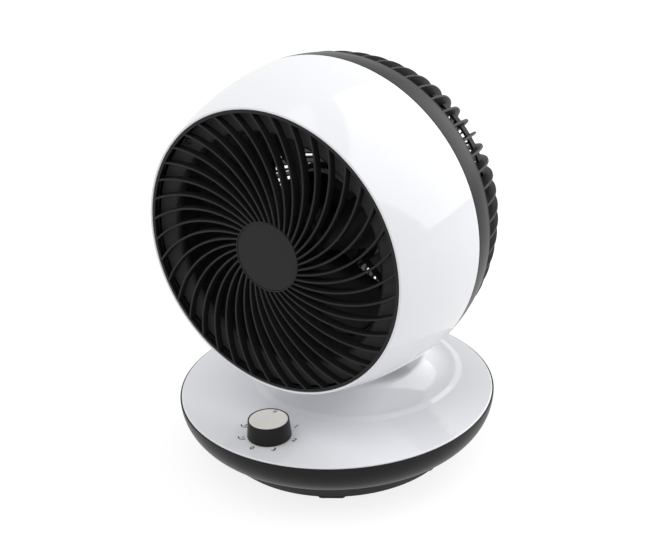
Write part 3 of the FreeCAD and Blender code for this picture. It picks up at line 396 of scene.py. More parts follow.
# Works inside the base
# Ballast plate, chassis, swing motor, gears, switch and electrical pieces, all bought-in or moulded.
# They stand on the ballast, and the screws from below hold them.
steel_can = metal("zinc_can", (0.34, 0.34, 0.35), (0.5, 0.5, 0.5), 0.3, 0.5, 700, 0.00001)
brass = metal("sintered_brass", (0.56, 0.4, 0.16), (0.74, 0.56, 0.26), 0.3, 0.45, 2400, 0.00001)
pale_plastic = moulded(
    "pale_plastic", (0.66, 0.66, 0.63), (0.76, 0.76, 0.74), 1800, 0.00002, 0.38, 0.52)
grey_plastic = moulded(
    "grey_plastic", (0.16, 0.16, 0.165), (0.23, 0.23, 0.235), 1900, 0.00003, 0.32, 0.48)
dress(steel, "ballast_plate", "switch_nut", "switch_spindle", "pan_shaft", "fork_screws")
dress(steel_can, "pan_motor")
dress(brass, "pan_pinion")
dress(pale_plastic, "thrust_washer", "run_capacitor", "terminal_block", "pan_gear", "tilt_washers")
dress(grey_plastic, "chassis_frame", "rotary_switch")
dress(rubber, "lead_gland")

# Base cover
# The white gloss top of the base, with a low round platform and a flared neck moulded in behind its middle.
# It drops into the lower shell's ledge, and a thin rounded rim stays in sight all round.
RIM_RADIUS, RIM_HEIGHT, RIM_ROUND, RIM_FLAT, RIM_LOOPS = 125, 48.5, 1.1, 1.6, 7
COVER_WALL, COVER_GAP, COVER_LEDGE, COVER_STEPS = 2.5, 0.5, 2, 256
SWING_BACK = joints["swing"].y / MM
STEP_RADIUS, STEP_WIDTH, STEP_HEIGHT, STEP_ROUND, STEP_LOOPS = 86.2, 5, 50.1, 6, 6
FLARE_RADIUS, FLARE_CURVE, FLARE_TILT, FLARE_LOOPS = 77.4, 27, radians(50), 20
SHOULDER_CURVE, CROWN_TILT, SHOULDER_LOOPS = 6, radians(2), 12
MOUTH_HEIGHT, MOUTH_BORE, NECK_WALL = 62.3, 40, 3
MOUTH_EDGE = [(0.9, 0), (0.3, 0.1), (0, 0.4), (0, NECK_WALL)]


def climb(loops, curve, first, last, count):
    """Carry a row of loops inwards and up along an arc, from one tilt of the surface to another."""
    radius, height, back = loops[-1]
    for k in range(1, count + 1):
        tilt = first + (last - first) * k / count
        loops.append((radius - curve * abs(sin(tilt) - sin(first)),
                      height + curve * abs(cos(tilt) - cos(first)), back))


cover_inner = SEAT_RADIUS - COVER_GAP
cover_loops = [
    (cover_inner, RIM_HEIGHT - COVER_WALL, 0), (cover_inner, SEAT_TOP, 0), (RIM_RADIUS, SEAT_TOP, 0)]
for k in range(1, RIM_LOOPS + 1):
    angle = pi / 2 * k / RIM_LOOPS
    cover_loops.append(
        (RIM_RADIUS - RIM_ROUND + RIM_ROUND * cos(angle), SEAT_TOP + RIM_ROUND * sin(angle), 0))
cover_loops.append((RIM_RADIUS - RIM_FLAT, RIM_HEIGHT, 0))
step_tilt = atan2(STEP_HEIGHT - RIM_HEIGHT, STEP_WIDTH)
step_cut = STEP_ROUND * tan(step_tilt / 2)
cover_loops.append((STEP_RADIUS + step_cut, RIM_HEIGHT, SWING_BACK))
climb(cover_loops, STEP_ROUND, 0, step_tilt, STEP_LOOPS)
cover_loops.append((STEP_RADIUS - STEP_WIDTH - step_cut + STEP_ROUND * sin(step_tilt),
                    STEP_HEIGHT - STEP_ROUND * (1 - cos(step_tilt)), SWING_BACK))
climb(cover_loops, STEP_ROUND, step_tilt, 0, STEP_LOOPS)
neck = [(FLARE_RADIUS, STEP_HEIGHT, SWING_BACK)]
climb(neck, FLARE_CURVE, 0, FLARE_TILT, FLARE_LOOPS)
climb(neck, SHOULDER_CURVE, FLARE_TILT, CROWN_TILT, SHOULDER_LOOPS)
cover_loops += neck
cover_loops += [(MOUTH_BORE + out, MOUTH_HEIGHT - down, SWING_BACK) for out, down in MOUTH_EDGE]
cover_loops += [(radius, height - NECK_WALL, back) for radius, height, back in reversed(neck)]
cover_loops.append((FLARE_RADIUS + COVER_LEDGE, RIM_HEIGHT - COVER_WALL, SWING_BACK))
cover = begin(
    "base_cover", bpy.ops.mesh.primitive_circle_add, vertices=COVER_STEPS, radius=cover_loops[0][0] * MM)
bpy.ops.transform.translate(value=(0, cover_loops[0][2] * MM, cover_loops[0][1] * MM))
for (radius, height, back), (next_radius, next_height, next_back) in zip(cover_loops, cover_loops[1:]):
    grow = next_radius / radius
    bpy.ops.mesh.extrude_region_move()
    bpy.ops.transform.resize(value=(grow, grow, 1), center_override=(0, back * MM, 0))
    bpy.ops.transform.translate(value=(0, (next_back - back) * MM, (next_height - height) * MM))
bpy.ops.mesh.select_mode(type="EDGE")
bpy.ops.mesh.select_non_manifold(
    extend=False, use_multi_face=False, use_non_contiguous=False, use_verts=False)
bpy.ops.mesh.bridge_edge_loops()
complete(cover)


def gloss_white():
    """White gloss plastic: hardly any drift of colour, a faint ripple and wiped patches in the gloss."""
    material, shader, place = new_finish("white_gloss", Coat_Roughness=0.03, IOR=1.5)
    drift = place.noise(7.0)
    wiped = place.noise(26.0, 3.0)
    drift.tint((0.783, 0.79, 0.822), (0.813, 0.82, 0.85)).into(shader, "Base Color")
    (0.05 + 0.05 * wiped).into(shader, "Roughness")
    place.noise(190.0, 1.0).relief(shader, 0.000004)
    return material


white_gloss = gloss_white()
cover.data.materials.append(white_gloss)
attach(cover, "base")
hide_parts("base_cover")

# Dial marks
# Speed numbers and swing signs, pad printed in dark grey ink on the cover round the dial.
# The numbers stand upright for a user in front, and a double arrow under a number means swing.
KNOB_AXIS = (Vector((0, joints["dial"].y, 0)), UP, RIGHT)
SPEEDS = {"0": (-3, 21), "3": (45, 20.5), "2": (102, 20.5), "1": (155, 23.5)}
SWINGS = {"1": (-50, 21.5), "2": (-93, 25), "3": (-135, 24.5)}
SPEED_SIZE, SWING_SIZE, SWING_SHIFT = 6.0, 4.2, Vector((0.3, 1.6, 0))
PRINT_LEVEL, PRINT_DEPTH, BOLDNESS = RIM_HEIGHT - 0.01, 0.03, 0.03
ARROW_RADIUS, ARROW_LINE, ARROW_HEAD, ARROW_DROP = 3.4, 0.85, 1.15, 1.4
ARROW_SWEEP = radians(120)
ink = moulded("grey_ink", (0.008, 0.008, 0.0085), (0.014, 0.014, 0.0145), 4000, 0.000003, 0.4, 0.55)
marks = []


def mark_spot(angle, radius):
    turn = radians(angle)
    return KNOB_AXIS[0] + Vector((sin(turn), -cos(turn), 0)) * radius * MM


def printed_number(text, spot, size):
    """A number as a thin raised print, centred on a spot."""
    bpy.ops.object.select_all(action="DESELECT")
    bpy.ops.object.text_add(location=(0, 0, 0))
    label = bpy.context.object
    label.data.body = text
    label.data.size = size * MM
    label.data.offset = size * BOLDNESS * MM
    label.data.align_x = "CENTER"
    label.data.align_y = "CENTER"
    label.data.extrude = PRINT_DEPTH * MM / 2
    label.data.resolution_u = 6
    bpy.ops.object.convert(target="MESH")
    label.data.transform(Matrix.Translation((spot.x, spot.y, (PRINT_LEVEL + PRINT_DEPTH / 2) * MM)))
    marks.append(label)


def swing_arrow(spot):
    """A smiling arc with a head at each end, printed under a swing number."""
    piece = begin(
        "swing_arrow", bpy.ops.mesh.primitive_plane_add, size=1, rotation=(pi / 2, 0, 0))
    bpy.ops.transform.resize(value=(ARROW_LINE * MM, 1, PRINT_DEPTH * MM))
    bpy.ops.transform.translate(value=(ARROW_RADIUS * MM, 0, 0))
    bpy.ops.mesh.spin(steps=14, angle=ARROW_SWEEP, center=(0, 0, 0), axis=(0, 0, 1))
    for turn, tip in ((0, 0), (-ARROW_SWEEP, pi)):
        select_all(False)
        place = Vector((cos(turn), sin(turn), 0)) * ARROW_RADIUS * MM
        bpy.ops.mesh.primitive_circle_add(
            vertices=3, radius=ARROW_HEAD * MM, fill_type="NGON", rotation=(0, 0, turn + tip),
            location=place - Vector((0, 0, PRINT_DEPTH * MM / 2)))
        bpy.ops.mesh.extrude_region_move(TRANSFORM_OT_translate={"value": (0, 0, PRINT_DEPTH * MM)})
    complete(piece)
    centre = spot + Vector((0, ARROW_RADIUS - ARROW_DROP, PRINT_LEVEL + PRINT_DEPTH / 2)) * MM
    lean = Matrix.Rotation((ARROW_SWEEP - pi) / 2, 4, "Z")
    piece.data.transform(Matrix.Translation(centre) @ lean)
    marks.append(piece)


def united(name, pieces):
    """Join several meshes into one piece."""
    bpy.ops.object.select_all(action="DESELECT")
    for piece in pieces:
        piece.select_set(True)
    bpy.context.view_layer.objects.active = pieces[0]
    bpy.ops.object.join()
    whole = bpy.context.object
    whole.name = name
    whole.data.name = name
    return whole


for text, place in SPEEDS.items():
    printed_number(text, mark_spot(*place), SPEED_SIZE)
for text, place in SWINGS.items():
    printed_number(text, mark_spot(*place) + SWING_SHIFT * MM, SWING_SIZE)
    swing_arrow(mark_spot(*place))
prints = united("dial_marks", marks)
prints.data.materials.clear()
prints.data.materials.append(ink)
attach(prints, "base")

# Dial
# A hollow tapered knob of satin charcoal plastic, pushed on to the switch spindle.
# A cream cap with a lathe-turned face and a small finger mark is glued into its top.
KNOB_LOW, KNOB_TOP, KNOB_RADIUS, KNOB_TOP_RADIUS = 49.1, 63.3, 17, 15.8
KNOB_WALL, KNOB_TOP_WALL = 2, 1.8
CAP_RADIUS, CAP_LEVEL, CAP_GAP, CAP_GLUE = 14.8, 62.0, 0.1, 0.02
well = CAP_RADIUS + CAP_GAP
knob = turned("knob_body", KNOB_AXIS, [
    (0, CAP_LEVEL - CAP_GLUE), (well, CAP_LEVEL - CAP_GLUE), (well, KNOB_TOP),
    (KNOB_TOP_RADIUS, KNOB_TOP), (KNOB_RADIUS, KNOB_LOW), (KNOB_RADIUS - KNOB_WALL, KNOB_LOW),
    (KNOB_TOP_RADIUS - KNOB_TOP_WALL, CAP_LEVEL - KNOB_WALL), (0, CAP_LEVEL - KNOB_WALL)], 0.35, 128)
knob.data.materials.append(charcoal_satin)
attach(knob, "dial")
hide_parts("knob_body")
CAP_SIDE, CAP_BEAD, CAP_FACE = KNOB_TOP - 0.35, KNOB_TOP - 0.05, KNOB_TOP - 0.15
BEAD_IN, FACE_IN = 0.7, 1.5
cap = turned("knob_cap", KNOB_AXIS, [
    (0, CAP_LEVEL), (CAP_RADIUS, CAP_LEVEL), (CAP_RADIUS, CAP_SIDE), (CAP_RADIUS - BEAD_IN, CAP_BEAD),
    (CAP_RADIUS - FACE_IN, CAP_FACE), (0, CAP_FACE)], 0.2, 128)
DIMPLE_SPOT, DIMPLE_BALL, DIMPLE_DEPTH, DIMPLE_SHADE_REACH = Vector((-2.0, 11.6, KNOB_TOP)), 3.0, 0.6, 1.7
dimple = begin(
    "dimple", bpy.ops.mesh.primitive_uv_sphere_add, segments=48, ring_count=32, radius=DIMPLE_BALL * MM,
    location=KNOB_AXIS[0] + (DIMPLE_SPOT + UP * (DIMPLE_BALL - DIMPLE_DEPTH)) * MM)
editing(False)
cut_away(cap, dimple)
bpy.ops.object.shade_smooth_by_angle(angle=SMOOTH_TO)


def turned_cream(middle, dimple):
    """Cream satin plastic with the fine rings that a lathe leaves, and grey painted shade in its dimple."""
    material, shader, place = new_finish("cream_satin", Specular_IOR_Level=0.9)
    radius, from_dimple = [place.node("ShaderNodeVectorMath", {"operation": "DISTANCE"}, {0: place, 1: spot}, 1)
                    for spot in (middle, dimple)]
    rings = radius.node(
        "ShaderNodeTexNoise", {"noise_dimensions": "1D"}, {"W": radius, "Scale": 3800.0, "Detail": 3.0})
    speck = place.noise(3000.0, 2.0)
    plain = (0.6 * rings + 0.4 * speck).tint((0.83, 0.805, 0.75), (0.91, 0.885, 0.83))
    dimple_shade = speck.tint((0.3, 0.3, 0.28), (0.36, 0.36, 0.34))
    # Painted shade: grey laid into the dimple's recess, out to its rim.
    (from_dimple < DIMPLE_SHADE_REACH * MM).tint(plain, dimple_shade).into(shader, "Base Color")
    (0.24 + 0.16 * rings).into(shader, "Roughness")
    rings.relief(shader, 0.000012)
    return material


cap.data.materials.append(
    turned_cream(KNOB_AXIS[0] + UP * KNOB_TOP * MM, KNOB_AXIS[0] + DIMPLE_SPOT * MM))
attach(cap, "dial")
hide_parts("knob_cap")

# Turntable
# A white gloss disc with a rounded edge and a short skirt, which closes the neck's mouth.
# It is screwed to the hollow swing shaft and turns with the head.
SWING_AXIS = (Vector((0, joints["swing"].y, 0)), UP, RIGHT)
TABLE_RADIUS, TABLE_TOP, TABLE_WALL, TABLE_ROUND, TABLE_BORE = 39.5, 62.5, 2.8, 2, 8
SKIRT_INNER, SKIRT_LOW = TABLE_RADIUS - 2.4, TABLE_TOP - 6
BOSS_RADIUS, BOSS_LOW = 17, 46
table_under, table_flat = TABLE_TOP - TABLE_WALL, TABLE_RADIUS - TABLE_ROUND
table_outline = [
    (TABLE_BORE, BOSS_LOW), (BOSS_RADIUS, BOSS_LOW), (BOSS_RADIUS, table_under), (SKIRT_INNER, table_under),
    (SKIRT_INNER, SKIRT_LOW), (TABLE_RADIUS, SKIRT_LOW)]
table_outline += bow((TABLE_RADIUS, TABLE_TOP - TABLE_ROUND), (table_flat, TABLE_TOP), TABLE_ROUND, -1, 6)
table_outline += [(table_flat, TABLE_TOP), (TABLE_BORE, TABLE_TOP)]
table = turned("turntable", SWING_AXIS, table_outline, 0.3)
table.data.materials.append(white_gloss)
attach(table, "swing")
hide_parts("turntable")

# Neck fork
# A fork of glass-filled nylon with two rounded ears, screwed to the turntable from below.
# The hinge pin goes through its ears and the head's bracket, and washers give the hinge its friction.
HINGE = joints["tilt"] / MM
EAR_INNER, EAR_OUTER, EAR_RADIUS = 13.8, 20, 7
FORK_FRONT, FORK_BACK, FORK_FLOOR = HINGE.y - EAR_RADIUS, HINGE.y + 2.4, 64.4


def slab(name, low, high, edge, segments=3):
    """A block between two corners in millimetres, with every edge rounded."""
    low, high = Vector(low) * MM, Vector(high) * MM
    piece = begin(name, bpy.ops.mesh.primitive_cube_add, size=1)
    bpy.ops.transform.resize(value=high - low)
    bpy.ops.transform.translate(value=(low + high) / 2)
    bpy.ops.mesh.bevel(offset=edge * MM, segments=segments, affect="EDGES")
    complete(piece)
    return piece


def lug(name, low_x, high_x, radius, foot, edge=0.7):
    """An ear on the hinge's axis: a disc drawn out to a foot at a given height, with rounded rims."""
    piece = begin(
        name, bpy.ops.mesh.primitive_circle_add, vertices=64, radius=radius * MM, fill_type="NGON",
        location=Vector((low_x, HINGE.y, HINGE.z)) * MM, rotation=(0, pi / 2, 0))
    rising = foot > HINGE.z
    pick(piece, "VERT", lambda vertex: (vertex.co.z > HINGE.z * MM + 1e-6) == rising
         and abs(vertex.co.z - HINGE.z * MM) > 1e-6)
    bpy.ops.transform.resize(value=(1, 1, 0), center_override=(0, 0, foot * MM))
    select_all(True)
    bpy.ops.mesh.remove_doubles(threshold=1e-6)
    bpy.ops.mesh.extrude_region_move(TRANSFORM_OT_translate={"value": ((high_x - low_x) * MM, 0, 0)})
    pick(piece, "EDGE", lambda line: abs(piece.data.vertices[line.vertices[0]].co.x
                                         - piece.data.vertices[line.vertices[1]].co.x) < 1e-6)
    bpy.ops.mesh.bevel(offset=edge * MM, segments=3, affect="EDGES")
    complete(piece)
    return piece


fork = united("neck_fork", [
    slab("fork_floor", (-EAR_OUTER, FORK_FRONT, TABLE_TOP), (EAR_OUTER, FORK_BACK, FORK_FLOOR), 0.6),
    lug("fork_ear_a", EAR_INNER, EAR_OUTER, EAR_RADIUS, TABLE_TOP),
    lug("fork_ear_b", -EAR_OUTER, -EAR_INNER, EAR_RADIUS, TABLE_TOP)])
fork.data.materials.append(charcoal_satin)
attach(fork, "swing")
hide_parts("neck_fork")
PIN_AXIS = (Vector((0, HINGE.y, HINGE.z)) * MM, RIGHT, UP)
PIN_RADIUS, PIN_END, PIN_HEAD, PIN_FACE = 3, -EAR_OUTER - 1.5, 5, 3.6
HEAD_SIDE, HEAD_TOP = EAR_OUTER + 1.0, EAR_OUTER + 1.6
pin = turned("tilt_pin", PIN_AXIS, [
    (0, PIN_END), (PIN_RADIUS, PIN_END), (PIN_RADIUS, EAR_OUTER), (PIN_HEAD, EAR_OUTER),
    (PIN_HEAD, HEAD_SIDE), (PIN_FACE, HEAD_TOP), (0, HEAD_TOP)], 0.4, 64)
pin.data.materials.append(steel)
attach(pin, "swing")
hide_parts("tilt_pin")

# Tilt bracket
# A moulded arm with a knuckle between the fork's ears and a saddle that is bonded to the duct.
# It carries the whole head.
ARM_HALF, ARM_DEEP, ARM_LOW, KNUCKLE_TOP = 12.6, 5, HINGE.z + 4, HINGE.z + 24
SADDLE_HALF, SADDLE_DEEP, SADDLE_WALL = 24, 8, 3
HEAD_HEIGHT = joints["impeller"].z / MM
DUCT_OUTER = 91
duct_under = HEAD_HEIGHT - DUCT_OUTER
saddle_top = HEAD_HEIGHT - sqrt(DUCT_OUTER ** 2 - SADDLE_HALF ** 2)
bracket = united("tilt_bracket", [
    lug("bracket_knuckle", -ARM_HALF, ARM_HALF, EAR_RADIUS, KNUCKLE_TOP),
    slab("bracket_arm", (-ARM_HALF, HINGE.y - ARM_DEEP, ARM_LOW),
         (ARM_HALF, HINGE.y + ARM_DEEP, duct_under), 1.2),
    slab("bracket_saddle", (-SADDLE_HALF, HINGE.y - SADDLE_DEEP, duct_under - SADDLE_WALL),
         (SADDLE_HALF, HINGE.y + SADDLE_DEEP, saddle_top), 1.0)])
bracket.data.materials.append(charcoal_satin)
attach(bracket, "head")
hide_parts("tilt_bracket")

# Motor
# A black-painted cast can in two halves with sintered bushes, wound stator and rotor on a steel shaft.
# A moulded collar with four arms holds it in the duct.
black_paint = moulded(
    "black_paint", (0.012, 0.012, 0.0125), (0.02, 0.02, 0.0205), 1600, 0.00002, 0.35, 0.5,
    Specular_IOR_Level=0.3)
copper = metal("enamelled_copper", (0.5, 0.2, 0.08), (0.72, 0.33, 0.14), 0.25, 0.4, 1400, 0.00006)
dress(black_paint, "motor_front_case", "motor_rear_case")
dress(brass, "front_bearing", "rear_bearing")
dress(copper, "stator_windings")
dress(steel_can, "stator_core", "rotor_core")
dress(steel, "motor_shaft")
dress(charcoal_matt, "motor_bracket", "impeller_nut")

# Air duct
# A black tube that guides the air, with a rounded mouth and a flange behind the front guard; the flange's
# front face is a lighter matt grey as painted light, standing in for frontal light that shade from the bars
# takes away.
# Four blackened screws hold its flange to the ledge inside the white shell.
HEAD_AXIS = (Vector((0, 0, HEAD_HEIGHT * MM)), AHEAD, UP)
DUCT_BORE, DUCT_FRONT, DUCT_REAR, DUCT_FLANGE, LEDGE = 88.5, 72, -46, 109, 69.5
MOUTH_ROUND = 6
flange_inner = (DUCT_BORE + MOUTH_ROUND, DUCT_FRONT)
duct_outline = [(DUCT_BORE, DUCT_REAR)]
duct_outline += bow((DUCT_BORE, DUCT_FRONT - MOUTH_ROUND), flange_inner, MOUTH_ROUND, 1, 8)
duct_outline += [flange_inner, (DUCT_FLANGE, DUCT_FRONT), (DUCT_FLANGE, LEDGE), (DUCT_OUTER, LEDGE),
                 (DUCT_OUTER, DUCT_REAR)]
duct = turned("air_duct", HEAD_AXIS, duct_outline, 0.4)
# Painted light: a lighter copy of the duct's black moulding, for the flange's face that the guard's bars and
# the shell's lip shade.
flange_painted_light = moulded(
    "flange_painted_light", (0.036, 0.036, 0.0365), (0.046, 0.046, 0.0465), 2600, 0.00004, 0.6, 0.75,
    Specular_IOR_Level=0.12)
duct.data.materials.append(charcoal_matt)
duct.data.materials.append(flange_painted_light)
# Forward-facing faces take the lighter painted-light copy, and the rest of the duct stays charcoal.
for face in duct.data.polygons:
    face.material_index = int(face.normal.dot(AHEAD) > 0.9)
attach(duct, "head")
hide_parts("air_duct")
FLANGE_SCREWS, FLANGE_SCREW_HEAD, FLANGE_SCREW_RISE = 103.5, 2.5, 1.0
spread = FLANGE_SCREWS / sqrt(2)
head_screws = cross_screws(
    "head_screws", (Vector((0, -DUCT_FRONT, HEAD_HEIGHT)) * MM, AHEAD, UP),
    FLANGE_SCREW_HEAD, FLANGE_SCREW_RISE,
    [(spread, 0, spread), (spread, 0, -spread), (-spread, 0, -spread), (-spread, 0, spread)])
head_screws.data.materials.append(
    metal("blackened_steel", (0.02, 0.02, 0.021), (0.04, 0.04, 0.041), 0.4, 0.55, 1400, 0.00004))
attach(head_screws, "head")
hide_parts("head_screws")

# Impeller
# Five twisted blades on a cup-shaped hub, moulded in one piece of dark plastic.
# A round nut clamps it on the motor shaft.
BLADE_COUNT, BLADE_TIP, BLADE_HUB, BLADE_REAR, BLADE_FRONT = 5, 85, 26, 20, 50
ROOT_CHORD, TIP_CHORD, ROOT_PITCH, TIP_PITCH = 34, 56, 52, 28
CAMBER, SWEEP, BLADE_WALL, BLADE_GRID = 0.08, 10, 2.2, 14
BLADE_ROOT, BLADE_SPAN = BLADE_HUB - 1.5, BLADE_TIP - BLADE_HUB + 1.2
TIP_SHARE, TIP_LOSS = 0.2, 0.3
HUB_BORE, HUB_BOSS, HUB_WALL, HUB_FACE, HUB_ROUND = 4, 9, 2.5, 3, 6
hub_under, hub_flat = BLADE_FRONT - HUB_FACE, BLADE_HUB - HUB_ROUND
hub_outline = [(HUB_BORE, BLADE_REAR), (HUB_BOSS, BLADE_REAR), (HUB_BOSS, hub_under),
               (BLADE_HUB - HUB_WALL, hub_under), (BLADE_HUB - HUB_WALL, BLADE_REAR), (BLADE_HUB, BLADE_REAR)]
hub_outline += bow((BLADE_HUB, BLADE_FRONT - HUB_ROUND), (hub_flat, BLADE_FRONT), HUB_ROUND, -1, 8)
hub_outline += [(hub_flat, BLADE_FRONT), (HUB_BORE, BLADE_FRONT)]
blade_hub = turned("impeller_hub", HEAD_AXIS, hub_outline, 0.5, 128)


def blade_point(across, outward):
    """A point of the blade's middle surface, for shares of its chord and its length from 0 to 1."""
    radius = BLADE_ROOT + BLADE_SPAN * outward
    chord = ROOT_CHORD + (TIP_CHORD - ROOT_CHORD) * outward
    into_tip = max(0.0, (outward - 1 + TIP_SHARE) / TIP_SHARE)
    chord *= 1 - TIP_LOSS * into_tip ** 2
    pitch = radians(ROOT_PITCH + (TIP_PITCH - ROOT_PITCH) * outward)
    along = (across - 0.5) * chord
    lift = CAMBER * chord * (1 - 4 * (across - 0.5) ** 2)
    sideways = along * cos(pitch) - lift * sin(pitch)
    forward = along * sin(pitch) + lift * cos(pitch)
    turn = radians(SWEEP) * outward + pi / 2 - sideways / radius
    axial = (BLADE_FRONT + BLADE_REAR) / 2 + forward
    return Vector((radius * cos(turn), -axial, HEAD_HEIGHT + radius * sin(turn))) * MM


blades = begin(
    "blades", bpy.ops.mesh.primitive_grid_add, x_subdivisions=BLADE_GRID, y_subdivisions=BLADE_GRID, size=1)
editing(False)
for vertex in blades.data.vertices:
    vertex.co = blade_point(vertex.co.x + 0.5, vertex.co.y + 0.5)
modified(blades, "SOLIDIFY", thickness=BLADE_WALL * MM, offset=0)
modified(blades, "SUBSURF", levels=1, render_levels=1)
editing(True)
select_all(True)
ring_of(BLADE_COUNT, *HEAD_AXIS[:2])
complete(blades)
impeller = united("impeller", [blade_hub, blades])
impeller.data.materials.append(charcoal_satin)
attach(impeller, "impeller")
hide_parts("impeller")

# Rear guard
# A deep dome of sixty radial fins with a low finer fin in each gap, tied by rings and a solid rear cap.
# It is one black moulding, clipped into the rear band, and it keeps fingers off the blades.
BAND_REAR, BAND_RADIUS = -27.4, 122.9
DOME_CURVE, DOME_OUT, DOME_BACK = 112.6, 11.4, -11.2
GUARD_CAP, CAP_WALL, CAP_PROUD = 58, 3, 0.5
FIN_COUNT, FIN_WIDTH, FIN_DEEP, FIN_TURN = 60, 0.9, 9.2, 1
FINE_SHARE, FINE_WIDTH, FINE_INSET = 0.5, 0.8, 5.6
RING_WALL, RAIL, RAIL_REAR, RAIL_WIDTH, MID_RING, MID_WIDTH = 1.8, 101.6, -69.6, 5.4, 70, 4
HOOP_INNER, HOOP_OUTER, HOOP_WIDTH = BAND_RADIUS - 4.7, BAND_RADIUS - 0.6, 2.5


def at_radius(inset, radius):
    """The angle behind the dome's middle plane of a radius on it, or inset from it."""
    return acos((radius - DOME_OUT) / (DOME_CURVE - inset))


def at_band(inset):
    return asin((DOME_BACK - BAND_REAR) / (DOME_CURVE - inset))


def dome_arc(inset, first, last, count):
    """Points on the dome, or inset from it, between two angles behind its middle plane."""
    reach = DOME_CURVE - inset
    angles = [first + (last - first) * k / count for k in range(count + 1)]
    return [(DOME_OUT + reach * cos(angle), DOME_BACK - reach * sin(angle)) for angle in angles]


def dome_level(radius, inset):
    return DOME_BACK - (DOME_CURVE - inset) * sin(at_radius(inset, radius))


def round_axis(spot):
    """How far a spot lies clockwise round the head's axis from the top, in degrees."""
    return degrees(atan2(spot.x, spot.z - HEAD_HEIGHT * MM))


def fin_ring(name, outline, width, turn):
    """Wedge-shaped fins of one outline and width in degrees, the first at a turn clockwise from the top."""
    piece = begin(
        name, bpy.ops.mesh.primitive_circle_add, vertices=len(outline), radius=MM, fill_type="NGON")
    editing(False)
    for vertex, (radius, ahead) in zip(piece.data.vertices, outline):
        vertex.co = Vector((0, -ahead, HEAD_HEIGHT + radius)) * MM
    editing(True)
    bpy.ops.mesh.spin(steps=1, angle=radians(width), center=HEAD_AXIS[0], axis=AHEAD)
    select_all(True)
    bpy.ops.transform.rotate(
        value=radians(width / 2 - turn), orient_axis="Y", center_override=HEAD_AXIS[0])
    pick(piece, "EDGE", both_ends(piece, lambda spot: round_axis(spot) > turn))
    bpy.ops.mesh.bevel(offset=width * 0.25 * MM, segments=2, affect="EDGES")
    pick(piece, "EDGE", both_ends(piece, lambda spot: round_axis(spot) < turn - width * 0.49))
    bpy.ops.mesh.bevel(offset=width * 0.25 * MM, segments=2, affect="EDGES")
    select_all(True)
    ring_of(FIN_COUNT, *HEAD_AXIS[:2])
    complete(piece)
    return piece


into_cap = GUARD_CAP - 1
fin_outline = dome_arc(0, at_band(0), at_radius(0, into_cap), 28)
fin_outline += dome_arc(FIN_DEEP, at_radius(FIN_DEEP, into_cap), at_band(FIN_DEEP), 28)
guard_pieces = [fin_ring("fins", fin_outline, FIN_WIDTH, FIN_TURN)]
fine_outline = dome_arc(FINE_INSET, at_radius(FINE_INSET, RAIL), at_radius(FINE_INSET, into_cap), 14)
fine_outline += dome_arc(FIN_DEEP, at_radius(FIN_DEEP, into_cap), at_radius(FIN_DEEP, RAIL), 14)
guard_pieces.append(fin_ring("fine_fins", fine_outline, FINE_WIDTH, FIN_TURN + 360 / FIN_COUNT * FINE_SHARE))
mid_front = dome_level(MID_RING, FIN_DEEP) - RING_WALL * 0.75
hoops = [
    (HOOP_INNER, HOOP_OUTER, BAND_REAR - HOOP_WIDTH, BAND_REAR),
    (RAIL - RING_WALL / 2, RAIL + RING_WALL / 2, RAIL_REAR, RAIL_REAR + RAIL_WIDTH),
    (MID_RING - RING_WALL / 2, MID_RING + RING_WALL / 2, mid_front - MID_WIDTH, mid_front)]
for inner, outer, low, high in hoops:
    guard_pieces.append(
        turned("hoop", HEAD_AXIS, [(inner, low), (outer, low), (outer, high), (inner, high)], 0.4, 180))
skirt_front = dome_level(GUARD_CAP, FIN_DEEP) + 1.5
cap_outline = [(0, DOME_BACK - DOME_CURVE - CAP_PROUD)]
cap_outline += dome_arc(-CAP_PROUD, pi / 2, at_radius(-CAP_PROUD, GUARD_CAP), 16)
cap_outline += [(GUARD_CAP, skirt_front), (GUARD_CAP - CAP_WALL, skirt_front)]
cap_outline += dome_arc(CAP_WALL, at_radius(CAP_WALL, GUARD_CAP - CAP_WALL), pi / 2, 16)
cap_outline += [(0, DOME_BACK - DOME_CURVE + CAP_WALL)]
guard_pieces.append(turned("rear_cap", HEAD_AXIS, cap_outline, 0.6, 160))
guard = united("rear_guard", guard_pieces)
guard.data.materials.append(charcoal_matt)
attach(guard, "head")
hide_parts("rear_guard")

# Rear band
# The smooth satin charcoal band behind the white shell, with a notch under it for the tilting neck.
# Its spigot is a push fit in the shell, and the rear guard is clipped into it.
BAND_FRONT, BAND_WIDEST, BAND_CURVE = -6.1, 126.2, 120
BAND_LIP, BAND_BORE, BORE_REAR = 120.3, 121, -11.9
SPIGOT_RADIUS, SPIGOT_FRONT = 123.3, 1.5
band_outline = bow((BAND_WIDEST, BAND_FRONT), (BAND_RADIUS, BAND_REAR), BAND_CURVE, 1, 10)
band_outline += [
    (BAND_RADIUS, BAND_REAR), (BAND_LIP, BAND_REAR), (BAND_BORE, BORE_REAR), (BAND_BORE, SPIGOT_FRONT),
    (SPIGOT_RADIUS, SPIGOT_FRONT), (SPIGOT_RADIUS, BAND_FRONT)]
band = turned("rear_cover", HEAD_AXIS, band_outline, 0.35, 256)
NOTCH_HALF, NOTCH_FRONT, NOTCH_BACK = EAR_OUTER + 5, 7.6, 35
NOTCH_LOW, NOTCH_TOP, SHARP = HINGE.z - 12, HINGE.z + 8, 0.01
notch = slab("notch", (-NOTCH_HALF, NOTCH_FRONT, NOTCH_LOW), (NOTCH_HALF, NOTCH_BACK, NOTCH_TOP), SHARP)
cut_away(band, notch)
band.data.materials.append(charcoal_satin)
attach(band, "head")
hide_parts("rear_cover")

